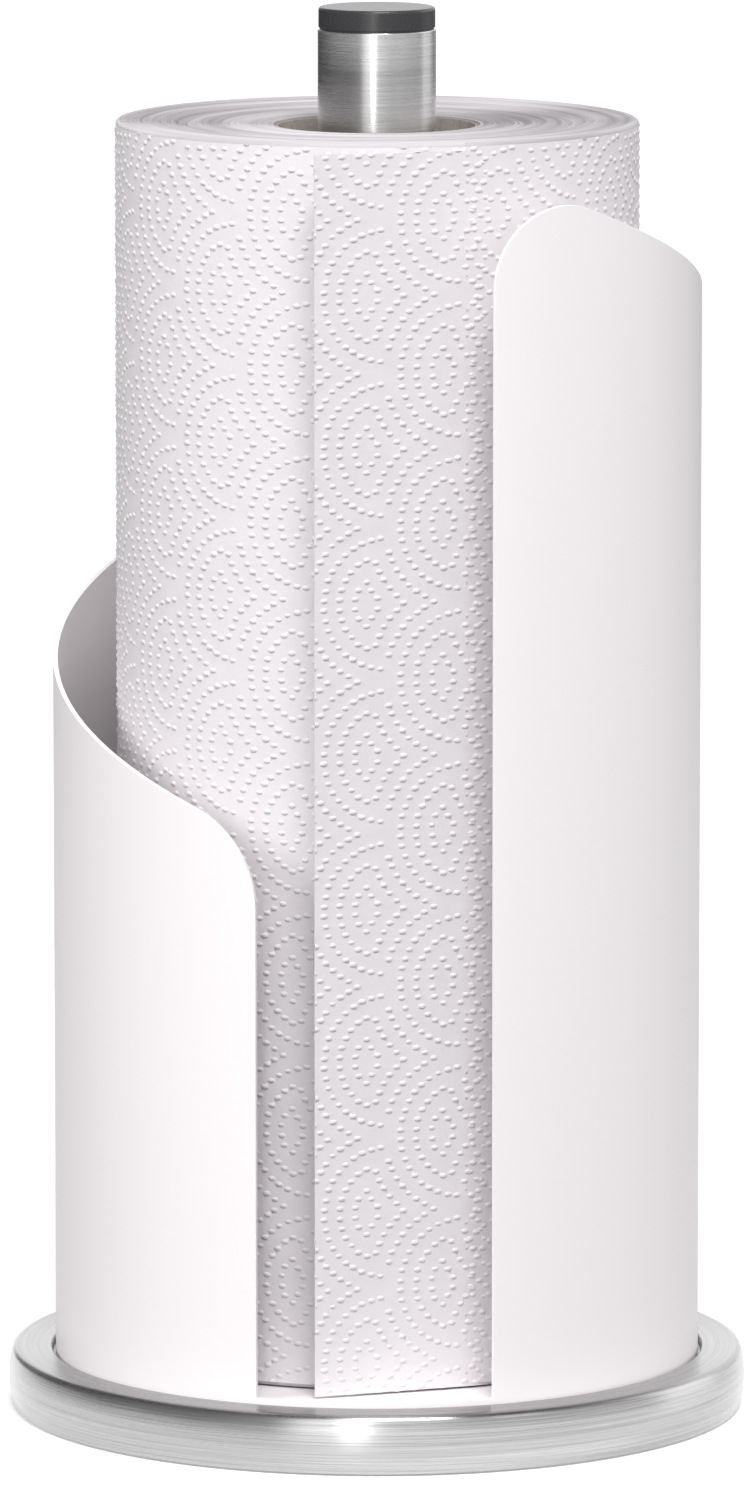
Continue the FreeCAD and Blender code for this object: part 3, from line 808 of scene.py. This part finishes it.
def close_field(grid, name, materials):
    """Turns a shaped field into a closed piece with its faces outwards and the paper's own normals."""
    open_edges = [e for e in grid.edges if len(e.link_faces) == 1]
    bmesh.ops.holes_fill(grid, edges=open_edges, sides=0)
    bmesh.ops.triangulate(grid, faces=[f for f in grid.faces if len(f.verts) > 4])
    bmesh.ops.recalc_face_normals(grid, faces=grid.faces)
    mesh = bpy.data.meshes.new(name)
    grid.to_mesh(mesh)
    grid.free()
    mesh.polygons.foreach_set("use_smooth", [True] * len(mesh.polygons))
    mesh.set_sharp_from_angle(angle=math.radians(60))
    lean = np.zeros(len(mesh.vertices) * 3)
    mesh.attributes["lean"].data.foreach_get("vector", lean)
    corner_vertex = np.zeros(len(mesh.loops), dtype=int)
    mesh.loops.foreach_get("vertex_index", corner_vertex)
    face_normal = np.zeros(len(mesh.polygons) * 3)
    mesh.polygons.foreach_get("normal", face_normal)
    sides = np.zeros(len(mesh.polygons), dtype=int)
    mesh.polygons.foreach_get("loop_total", sides)
    facing = np.repeat(face_normal.reshape(-1, 3), sides, axis=0)
    wanted = lean.reshape(-1, 3)[corner_vertex]
    agreement = np.einsum("ij,ij->i", facing, wanted)
    wanted[agreement < -EDGE_ON] *= -1.0
    wanted[np.abs(agreement) < EDGE_ON] = 0.0
    mesh.normals_split_custom_set(wanted)
    mesh.attributes.remove(mesh.attributes["lean"])
    for material in materials:
        mesh.materials.append(material)
    return link_object(name, mesh)


def roll_sizes():
    """Radius of the paper, of its bore, its bottom and its top."""
    outside = radius_of("paper_roll") - ROLL_GAP
    return outside, radius_of("core_wrap") + CORE_GAP, bottom_of("paper_roll"), top_of("paper_roll")


def roll_third(name, share, material, end_painted_shade_material):
    """A third of the roll as a closed wedge: embossed outside, windings on its top."""
    paper = bpy.context.scene.towel_paper
    outside, inside, bottom, top = roll_sizes()
    whole = 2 * math.pi * outside
    start, length = whole * share / 3, whole / 3
    grid = embossed_field(start, length, bottom + paper.rim, top - bottom - 2 * paper.rim,
                          paper.roll_phase, material)
    embossed = set(grid.faces)
    thickness = outside - inside
    upper = thin_row(grid, row_at(grid, top - paper.rim), END_SPACING, top - paper.rim + END_STEP)
    for depth, height in rim_profile(paper, top) + winding_profile(paper, thickness, top):
        upper = grow(grid, upper, depth, height)
    lower = thin_row(grid, row_at(grid, bottom + paper.rim), END_SPACING, bottom + paper.rim - END_STEP)
    for depth, height in rim_profile(paper, -bottom) + [(thickness, -bottom)]:
        lower = grow(grid, lower, depth, -height)
    for i in range(len(upper) - 1):
        grid.faces.new((upper[i], upper[i + 1], lower[i + 1], lower[i]))
    for vert in grid.verts:
        depth = min(1.0, max(0.0, -vert.co.y / thickness))
        spiral = paper.sheet * vert.co.x / whole * (1.0 - depth)
        radius = outside + vert.co.y - spiral
        turn = paper.leaves + vert.co.x / outside
        vert.co = Vector((radius * math.sin(turn), -radius * math.cos(turn), vert.co.z))
        turn_lean(grid, vert, turn)
    # Faces off the embossing take the end material, whose darker colour is painted shade between the
    # windings.
    for face in grid.faces:
        face.material_index = 0 if face in embossed else 1
    return close_field(grid, name, [material, end_painted_shade_material])


def loose_sheet(name, material):
    """The leading sheet: it sinks into the roll at one end and stands free in the opening at the other."""
    paper = bpy.context.scene.towel_paper
    outside = roll_sizes()[0]
    low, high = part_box("towel_end")
    leave = Vector((outside * math.sin(paper.leaves), -outside * math.cos(paper.leaves)))
    along = Vector((-math.cos(paper.leaves), -math.sin(paper.leaves)))
    away = leave.normalized()
    free = (paper.free_reach ** 2 - outside ** 2) ** 0.5
    grid = embossed_field(-free, free + paper.wrap, low.z, high.z - low.z, paper.sheet_phase, material)
    for vert in grid.verts:
        across, rise, up = vert.co
        if across < 0:
            turn = paper.leaves
            spot = leave + along * -across + away * (rise + SHEET_STAND)
        else:
            radius = outside + rise + SHEET_STAND - SHEET_SINK * (across / paper.wrap) ** 2
            turn = paper.leaves + across / outside
            spot = Vector((radius * math.sin(turn), -radius * math.cos(turn)))
        vert.co = Vector((spot.x, spot.y, up))
        turn_lean(grid, vert, turn)
    bmesh.ops.recalc_face_normals(grid, faces=grid.faces)
    if sum(f.normal.dot(away.to_3d()) for f in grid.faces) < 0:
        bmesh.ops.reverse_faces(grid, faces=grid.faces)
    bmesh.ops.solidify(grid, geom=grid.faces[:], thickness=paper.sheet)
    piece = close_field(grid, name, [material])
    return piece, (free + paper.wrap, high.z - low.z)


# ---------------------------------------------------------------- steel, sleeve and core


def arc_through(first, middle, last, steps):
    """Points on the circle through three (radius, height) points, from the first to the last."""
    (ax, ay), (bx, by), (cx, cy) = first, middle, last
    d = 2 * (ax * (by - cy) + bx * (cy - ay) + cx * (ay - by))
    a2, b2, c2 = ax * ax + ay * ay, bx * bx + by * by, cx * cx + cy * cy
    ux = (a2 * (by - cy) + b2 * (cy - ay) + c2 * (ay - by)) / d
    uy = (a2 * (cx - bx) + b2 * (ax - cx) + c2 * (bx - ax)) / d
    radius = math.hypot(ax - ux, ay - uy)
    start = math.atan2(ay - uy, ax - ux)
    end = math.atan2(cy - uy, cx - ux)
    turns = [start + (end - start) * step / steps for step in range(steps + 1)]
    return [(ux + radius * math.cos(turn), uy + radius * math.sin(turn)) for turn in turns]


STEEL_GAUGE = 0.8 * MM       # wall of the pressed cover
RECESS_GAP = 0.7 * MM        # from the sleeve to the wall of the recess that it stands in
SIDE_BULGE = 5.0 * MM        # height at which the cover is widest
SIDE_STEPS = 14
SIDE_TOP = 2.2 * MM          # where the side's arc gives way to the shoulder's rounding, below the top
FOOT_SET = 0.8 * MM          # how far the cover's foot lies inside its widest radius
SHOULDER_SET = 0.9 * MM      # and how far its shoulder does
BOLT_HOLE = 3.3 * MM         # radius of the hole for the post's bolt

TUBE_GAUGE = 1.0 * MM        # wall of the post

NECK_SET = 0.4 * MM          # how far the shadow groove under the cap's head lies inside the tube
PLUG_SET = 1.05 * MM         # and how far the cap's plug does
PLUG_WALL = 1.6 * MM
GROOVE = 0.4 * MM            # height of the shadow groove

PLY = 0.5 * MM               # wall of each ply of the core
PLY_SEGMENTS = 144
PLY_ROWS = 66
PLY_EDGE = 0.12 * MM
WEAR_PLACES = 24             # places round the core's upper end that are worn by different amounts
WEAR = 0.05 * MM
SEAM_TURNS = 2.6             # turns of the spiral butt seam over the core's height
SEAM_HALF_WIDTH = 0.02       # in turns
SEAM_HEIGHT = 0.1 * MM


def base_outline():
    """Outline of the pressed steel cover."""
    low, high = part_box("base_shell")
    widest = high.x
    shoulder = widest - SHOULDER_SET
    recess = radius_of("sleeve") + RECESS_GAP
    floor = bottom_of("sleeve")
    wall = STEEL_GAUGE
    side = arc_through((widest - FOOT_SET, low.z), (widest, low.z + SIDE_BULGE), (shoulder, high.z),
                       SIDE_STEPS)
    side = [(r, z) for r, z in side if z < high.z - SIDE_TOP]
    outer = [(r, z, 0) for r, z in side]
    outer += [(shoulder, high.z, 1.5 * MM), (recess, high.z, 0.6 * MM), (recess, floor, 0.3 * MM),
              (BOLT_HOLE, floor, 0)]
    inner = [(BOLT_HOLE, floor - wall, 0), (recess + wall, floor - wall, 0),
             (recess + wall, high.z - wall, 0), (shoulder - wall, high.z - wall, 0.6 * MM)]
    inner += [(r - wall, z, 0) for r, z in reversed(side)]
    return rounded(outer + inner)


def tube_outline():
    """Outline of the post's wall."""
    low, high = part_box("post_tube")
    edge = bpy.context.scene.towel_sizes.tube_edge
    bore = high.x - TUBE_GAUGE
    return rounded([(high.x, low.z, edge), (high.x, high.z, edge), (bore, high.z, edge), (bore, low.z, edge)],
                   steps=3)


def cap_outline():
    """Outline of the cap: head, shadow groove and hollow plug."""
    low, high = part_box("post_cap")
    head = high.x
    tube_top = top_of("post_tube")
    neck = radius_of("post_tube") - NECK_SET
    plug = radius_of("post_tube") - PLUG_SET
    bore = plug - PLUG_WALL
    groove_top = tube_top + GROOVE
    return rounded([(0.0, high.z, 0), (head, high.z, 0.6 * MM), (head, groove_top, 0.08 * MM),
                    (neck, groove_top, 0), (neck, tube_top, 0), (plug, tube_top, 0), (plug, low.z, 0.3 * MM),
                    (bore, low.z, 0.2 * MM), (bore, tube_top, 0.4 * MM), (0.0, tube_top, 0)])


def core_piece(name, node, material):
    """A wound cardboard tube with a slightly worn end and a spiral butt seam in its bore."""
    low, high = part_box(node)
    bore = high.x - PLY
    outer = high.x
    wear = np.random.default_rng(5).normal(0.0, WEAR, WEAR_PLACES)
    heights = [low.z + (high.z - low.z) * row / PLY_ROWS for row in range(PLY_ROWS + 1)]
    edge = PLY_EDGE
    outline = [(bore, z) for z in heights]
    outline[0] = (bore + edge, heights[0])
    outline[-1] = (bore + edge, heights[-1])
    outline += [(outer - edge, heights[-1]), (outer, heights[-1] - edge), (outer, heights[0] + edge),
                (outer - edge, heights[0])]
    verts, faces = lathe(outline, PLY_SEGMENTS)
    moved = []
    for x, y, z in verts:
        radius = math.hypot(x, y)
        turn = math.atan2(y, x) / (2 * math.pi)
        share = (z - low.z) / (high.z - low.z)
        if radius < (bore + outer) / 2 and 0.002 < share < 0.998:
            seam = (share * SEAM_TURNS - turn) % 1.0
            radius += SEAM_HEIGHT * max(0.0, 1.0 - abs(seam - 0.5) / SEAM_HALF_WIDTH)
        if share > 0.999:
            place = (turn % 1.0) * WEAR_PLACES
            first, second = int(place) % WEAR_PLACES, (int(place) + 1) % WEAR_PLACES
            blend = place - int(place)
            z -= abs(wear[first] * (1 - blend) + wear[second] * blend)
        angle = 2 * math.pi * turn
        moved.append((radius * math.cos(angle), radius * math.sin(angle), z))
    piece = finish_mesh(name, moved, faces, material, 50)
    turn_outwards(piece)
    return piece


SHEET_METAL = 1.0 * MM       # thickness of the sleeve's sheet
HIGH_STEPS = 18              # pieces of the high corner's arc
LOW_STEPS = 12               # and of the low corner's
RAMP_STEPS = 190             # and of the ramp between them
SLEEVE_ROWS = 8              # rows of faces from the lip to the top edge
LIP_STEPS = 28               # columns of faces of the lip across the opening


def sleeve_top():
    """Top edge of the sleeve from its right edge to its left, as (along the sheet, height)."""
    sizes = bpy.context.scene.towel_sizes
    radius = radius_of("sleeve")
    right, left = sizes.gap_right * radius, sizes.gap_left * radius
    slope = math.tan(sizes.ramp)
    high, low = sizes.right_corner, sizes.left_corner
    quarter = math.pi / 2
    centre = (right + high, top_of("sleeve") - high)
    sharp = centre[1] + high / math.tan((quarter - sizes.ramp) / 2)
    far = (left - low, sharp - slope * (left - right) - low / math.tan((quarter + sizes.ramp) / 2))
    edge = []
    for step in range(HIGH_STEPS + 1):
        turn = math.pi - (quarter + sizes.ramp) * step / HIGH_STEPS
        edge.append((centre[0] + high * math.cos(turn), centre[1] + high * math.sin(turn)))
    for step in range(LOW_STEPS + 1):
        turn = (quarter - sizes.ramp) * (1 - step / LOW_STEPS)
        edge.append((far[0] + low * math.cos(turn), far[1] + low * math.sin(turn)))
    first, last = edge[HIGH_STEPS], edge[HIGH_STEPS + 1]
    ramp = [(first[0] + (last[0] - first[0]) * step / RAMP_STEPS,
             first[1] + (last[1] - first[1]) * step / RAMP_STEPS) for step in range(1, RAMP_STEPS)]
    return edge[:HIGH_STEPS + 1] + ramp + edge[HIGH_STEPS + 1:]


def sleeve_piece(name, material):
    """The wrapped sheet on its continuous lip, thickened inwards, with its cut edges eased."""
    sizes = bpy.context.scene.towel_sizes
    radius = radius_of("sleeve")
    foot = bottom_of("sleeve")
    lip = top_of("floor_disc") + sizes.lip_height
    top = sleeve_top()
    grid = bmesh.new()

    def place(along, height):
        turn = along / radius
        return grid.verts.new((radius * math.sin(turn), -radius * math.cos(turn), height))

    columns = []
    for along, height in top:
        column = [place(along, foot)]
        column += [place(along, lip + (height - lip) * row / SLEEVE_ROWS) for row in range(SLEEVE_ROWS + 1)]
        columns.append(column)
    for first, second in zip(columns, columns[1:]):
        for row in range(SLEEVE_ROWS + 1):
            grid.faces.new((first[row], first[row + 1], second[row + 1], second[row]))
    gap_end = 2 * math.pi * radius + top[0][0]
    front = [columns[-1][:2]]
    for step in range(1, LIP_STEPS):
        along = top[-1][0] + (gap_end - top[-1][0]) * step / LIP_STEPS
        front.append([place(along, foot), place(along, lip)])
    front.append(columns[0][:2])
    for first, second in zip(front, front[1:]):
        grid.faces.new((first[0], first[1], second[1], second[0]))
    bmesh.ops.recalc_face_normals(grid, faces=grid.faces)
    if sum(f.normal.dot(f.calc_center_median()) for f in grid.faces) < 0:
        bmesh.ops.reverse_faces(grid, faces=grid.faces)
    mesh = bpy.data.meshes.new(name)
    grid.to_mesh(mesh)
    grid.free()
    mesh.polygons.foreach_set("use_smooth", [True] * len(mesh.polygons))
    raw = link_object(name + " sheet", mesh)
    thicken = raw.modifiers.new("Thicken", "SOLIDIFY")
    thicken.thickness = SHEET_METAL
    thicken.offset = -1.0
    ease = raw.modifiers.new("Ease", "BEVEL")
    ease.width = sizes.sheet_edge
    ease.segments = 3
    ease.limit_method = "ANGLE"
    ease.angle_limit = math.radians(50)
    ease.harden_normals = True
    done = evaluated_mesh(raw)
    done.name = name
    done.materials.clear()
    done.materials.append(material)
    return link_object(name, done)


# ---------------------------------------------------------------- stage

MIDDLE = (0.0, 0.0, 0.15)    # the point that every light faces
CAMERA_ASIDE = 0.25 * MM     # the camera's place to the right of the post's axis
SENSOR_WIDTH = 36.0          # mm
FLOOR_RADIUS = 1.2
FLOOR_PAINT = (0.90, 0.90, 0.90, 1.0)
FLOOR_GLOW = 0.28

# How bright the room is by bearing, as (degrees, brightness) stops from behind on the left round the front
ROOM = ((-180, 6.00), (-166, 5.50), (-155, 1.00), (-125, 0.70), (-60, 1.20), (-34, 2.20), (-21, 10.0),
        (-7, 10.0), (6, 4.80), (26, 4.80), (70, 4.60), (95, 4.00), (107, 9.00), (126, 8.50), (140, 4.50),
        (166, 5.50), (180, 6.00))
ROOM_LEVEL = 0.205           # strength of the light for a brightness of 1
OVERHEAD = 0.60              # brightness of the ceiling
CEILING_FADE = (0.45, 0.9)   # upward parts of the direction between which the walls fade into the ceiling
BELOW = 0.15                 # what is left of a wall's brightness under the horizon
HORIZON_FADE = (-0.06, 0.02)
SEEN_WHITE = 1.1             # brightness of the background as the camera sees it


def area_light(name, place, width, height, watts):
    """A soft white box that faces the middle of the holder."""
    data = bpy.data.lights.new(name, "AREA")
    data.shape = "RECTANGLE"
    data.size = width
    data.size_y = height
    data.energy = watts
    light = link_object(name, data)
    light.location = place
    light.rotation_euler = (Vector(MIDDLE) - Vector(place)).to_track_quat("-Z", "Y").to_euler()
    return light


def studio_world():
    """Plain white as it is seen, and as it lights the object a room of panels that stand round it."""
    world = bpy.data.worlds.new("studio")
    world.use_nodes = True
    tree = Tree(world.node_tree)
    nodes, links = tree.nodes, tree.links
    split = nodes.new("ShaderNodeSeparateXYZ")
    links.new(nodes.new("ShaderNodeTexCoord").outputs["Generated"], split.inputs[0])
    bearing = tree.math("ARCTAN2", split.outputs["X"], tree.math("MULTIPLY", split.outputs["Y"], -1.0))
    share = tree.math("ADD", tree.math("DIVIDE", bearing, 2 * math.pi), 0.5)
    ramp = nodes.new("ShaderNodeValToRGB")
    ramp.color_ramp.interpolation = "EASE"
    stops = ramp.color_ramp.elements
    most = max(value for _, value in ROOM)
    for index, (degrees, value) in enumerate(ROOM):
        spot = (degrees + 180) / 360
        if index == 0:
            stop = stops[0]
        elif index == len(ROOM) - 1:
            stop = stops[-1]
        else:
            stop = stops.new(spot)
        stop.position = spot
        stop.color = shade(WHITE, value / most)
    links.new(share, ramp.inputs[0])
    height = tree.remap(split.outputs["Z"], 0.0, 1.0, *CEILING_FADE)
    room = tree.blend(height, ramp.outputs[0], shade(WHITE, OVERHEAD / most))
    horizon = tree.remap(split.outputs["Z"], BELOW, 1.0, *HORIZON_FADE)
    dim = nodes.new("ShaderNodeVectorMath")
    dim.operation = "SCALE"
    links.new(room, dim.inputs[0])
    links.new(horizon, dim.inputs["Scale"])
    fill = nodes["Background"]
    links.new(dim.outputs[0], fill.inputs["Color"])
    fill.inputs["Strength"].default_value = ROOM_LEVEL * most
    seen = tree.make("ShaderNodeBackground", color=WHITE, strength=SEEN_WHITE)
    choose = nodes.new("ShaderNodeMixShader")
    links.new(nodes.new("ShaderNodeLightPath").outputs["Is Camera Ray"], choose.inputs[0])
    links.new(fill.outputs[0], choose.inputs[1])
    links.new(seen, choose.inputs[2])
    links.new(choose.outputs[0], nodes["World Output"].inputs["Surface"])
    bpy.context.scene.world = world


def studio_floor():
    """A plain round pale floor."""
    finish = Finish("floor paint")
    finish.set(base_color=FLOOR_PAINT, roughness=0.9, specular_ior_level=0.1,
               emission_color=WHITE, emission_strength=FLOOR_GLOW)
    grid = bmesh.new()
    bmesh.ops.create_circle(grid, cap_ends=True, radius=FLOOR_RADIUS, segments=96)
    mesh = bpy.data.meshes.new("floor")
    grid.to_mesh(mesh)
    grid.free()
    mesh.materials.append(finish.material)
    floor = link_object("floor", mesh)
    floor.visible_diffuse = False


# ---------------------------------------------------------------- operators


class TOWELHOLDER_OT_stage(bpy.types.Operator):
    """Makes the camera, the lights and the floor"""
    bl_idname = "towelholder.stage"
    bl_label = "Stage"

    def execute(self, context):
        studio = context.scene.towel_studio
        data = bpy.data.cameras.new("camera")
        data.lens = studio.focal_length
        data.sensor_width = SENSOR_WIDTH
        data.clip_start = 0.1
        data.clip_end = 100.0
        camera = link_object("camera", data)
        camera.location = (CAMERA_ASIDE, -studio.camera_distance, studio.camera_height)
        camera.rotation_euler = (math.pi / 2 - studio.camera_pitch, 0.0, 0.0)
        context.scene.camera = camera
        context.scene.view_settings.view_transform = "Standard"
        area_light("key box", (0.30, -1.8, 2.8), 1.3, 0.7, 76.0)
        area_light("right box", (1.7, -1.5, 1.6), 0.8, 0.8, 2.0)
        fill = area_light("left box", (-1.9, -0.9, 1.3), 0.9, 0.9, 30.0)
        fill.visible_glossy = False
        area_light("strip box", (-0.24, -2.0, 0.30), 0.24, 1.1, 3.2)
        studio_world()
        studio_floor()
        return {"FINISHED"}


class TOWELHOLDER_OT_base(bpy.types.Operator):
    """Makes the brushed steel cover of the base and finishes the pieces inside it"""
    bl_idname = "towelholder.base"
    bl_label = "Base"

    def execute(self, context):
        colours = context.scene.towel_colours
        # The base takes the steel colour darkened to 0.76: painted shade, a darker copy of the post's steel
        # that dims the reflections on the base's sides.
        steel = brushed_steel("base brushed steel painted shade", shade(colours.steel, 0.76), 42.0 * MM, 0.20 * MM, 0.34)
        cover = turned_piece("steel_cover", base_outline(), steel)
        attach(cover, "holder")
        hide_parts("base_shell")
        dress("anti_slip_pad", soft_sheet("pad rubber", (0.02, 0.02, 0.02, 1.0), 0.8 * MM))
        dress("bottom_cover", plain_metal("cover sheet steel", (0.55, 0.55, 0.56, 1.0), 0.35, 90.0))
        dress("ballast_disc", sand_casting("ballast iron", (0.05, 0.05, 0.055, 1.0)))
        dress("seating_pad", soft_sheet("seating foam", (0.03, 0.03, 0.03, 1.0), 0.5 * MM))
        zinc = plain_metal("zinc plating", (0.66, 0.68, 0.72, 1.0), 0.30, 260.0)
        for node in ("cover_screws", "floor_screws", "post_bolt", "bolt_lock_washer", "bolt_washer"):
            dress(node, zinc)
        return {"FINISHED"}


class TOWELHOLDER_OT_sleeve(bpy.types.Operator):
    """Makes the white sleeve and finishes the floor inside it"""
    bl_idname = "towelholder.sleeve"
    bl_label = "Sleeve"

    def execute(self, context):
        white = powder_coat("sleeve powder coat", context.scene.towel_colours.white)
        sleeve = sleeve_piece("wrap_sleeve", white)
        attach(sleeve, "holder")
        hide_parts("sleeve")
        dress("floor_disc", white)
        return {"FINISHED"}


class TOWELHOLDER_OT_post(bpy.types.Operator):
    """Makes the post and its cap"""
    bl_idname = "towelholder.post"
    bl_label = "Post"

    def execute(self, context):
        colours = context.scene.towel_colours
        # The post takes the steel colour lightened to 1.20: a painted highlight, a brighter copy of the
        # base's steel.
        steel = brushed_steel("post brushed steel painted highlight", shade(colours.steel, 1.20), 16.0 * MM, 0.10 * MM, 0.12)
        tube = turned_piece("steel_post", tube_outline(), steel)
        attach(tube, "holder")
        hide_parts("post_tube")
        cap = turned_piece("cap", cap_outline(), moulded_plastic("cap plastic", colours.cap, 0.28, 0.35 * MM))
        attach(cap, "holder")
        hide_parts("post_cap")
        nylon = moulded_plastic("seat nylon", (0.82, 0.81, 0.78, 1.0), 0.4, 0.5 * MM)
        for node in ("post_seat_washer", "post_insert"):
            dress(node, nylon)
        return {"FINISHED"}


class TOWELHOLDER_OT_core(bpy.types.Operator):
    """Makes the two plies of the cardboard core"""
    bl_idname = "towelholder.core"
    bl_label = "Core"

    def execute(self, context):
        board = core_board("core board", context.scene.towel_colours.board)
        for name, node, body in (("inner_ply", "core_liner", "core_carrier"),
                                 ("outer_ply", "core_wrap", "roll")):
            ply = core_piece(name, node, board)
            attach(ply, body)
            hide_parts(node)
        return {"FINISHED"}


class TOWELHOLDER_OT_roll(bpy.types.Operator):
    """Makes the embossed roll in three wedges"""
    bl_idname = "towelholder.roll"
    bl_label = "Roll"

    def execute(self, context):
        tissue = kitchen_paper("kitchen paper", context.scene.towel_colours.paper)
        # The roll's end takes the paper colour darkened to 0.68: painted shade between the windings.
        cut = cut_paper_painted_shade("cut paper painted shade", shade(context.scene.towel_colours.paper, 0.68))
        for share in range(3):
            third = roll_third(f"roll_third_{share + 1}", share, tissue, cut)
            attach(third, "roll")
            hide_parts("paper_roll")
        return {"FINISHED"}


class TOWELHOLDER_OT_sheet(bpy.types.Operator):
    """Makes the loose leading sheet"""
    bl_idname = "towelholder.sheet"
    bl_label = "Loose Sheet"

    def execute(self, context):
        tissue = bpy.data.materials["kitchen paper"]
        sheet, flat = loose_sheet("leading_sheet", tissue)
        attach(sheet, "roll")
        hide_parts("towel_end")
        return {"FINISHED"}


class TOWELHOLDER_PT_panel(bpy.types.Panel):
    """Lists the pieces of the holder"""
    bl_idname = "TOWELHOLDER_PT_panel"
    bl_label = "Towel Holder"
    bl_space_type = "VIEW_3D"
    bl_region_type = "UI"
    bl_category = "Towel Holder"

    def draw(self, context):
        for operator in OPERATORS:
            self.layout.operator(operator.bl_idname)
        for group in ("towel_sizes", "towel_paper", "towel_colours", "towel_studio"):
            box = self.layout.box()
            settings = getattr(context.scene, group)
            for key in settings.__annotations__:
                box.prop(settings, key)


GROUPS = {"towel_sizes": TOWELHOLDER_PG_sizes, "towel_paper": TOWELHOLDER_PG_paper,
          "towel_colours": TOWELHOLDER_PG_colours, "towel_studio": TOWELHOLDER_PG_studio}
OPERATORS = (TOWELHOLDER_OT_stage, TOWELHOLDER_OT_base, TOWELHOLDER_OT_sleeve, TOWELHOLDER_OT_post,
             TOWELHOLDER_OT_core, TOWELHOLDER_OT_roll, TOWELHOLDER_OT_sheet)


def register():
    for group in GROUPS.values():
        bpy.utils.register_class(group)
    for name, group in GROUPS.items():
        setattr(bpy.types.Scene, name, PointerProperty(type=group))
    for operator in OPERATORS:
        bpy.utils.register_class(operator)
    bpy.utils.register_class(TOWELHOLDER_PT_panel)


def unregister():
    bpy.utils.unregister_class(TOWELHOLDER_PT_panel)
    for operator in reversed(OPERATORS):
        bpy.utils.unregister_class(operator)
    for name in GROUPS:
        delattr(bpy.types.Scene, name)
    for group in reversed(GROUPS.values()):
        bpy.utils.unregister_class(group)


def main():
    register()
    for make in (bpy.ops.towelholder.stage, bpy.ops.towelholder.base, bpy.ops.towelholder.sleeve,
                 bpy.ops.towelholder.post, bpy.ops.towelholder.core, bpy.ops.towelholder.roll,
                 bpy.ops.towelholder.sheet):
        make()


if __name__ == "__main__":
    main()
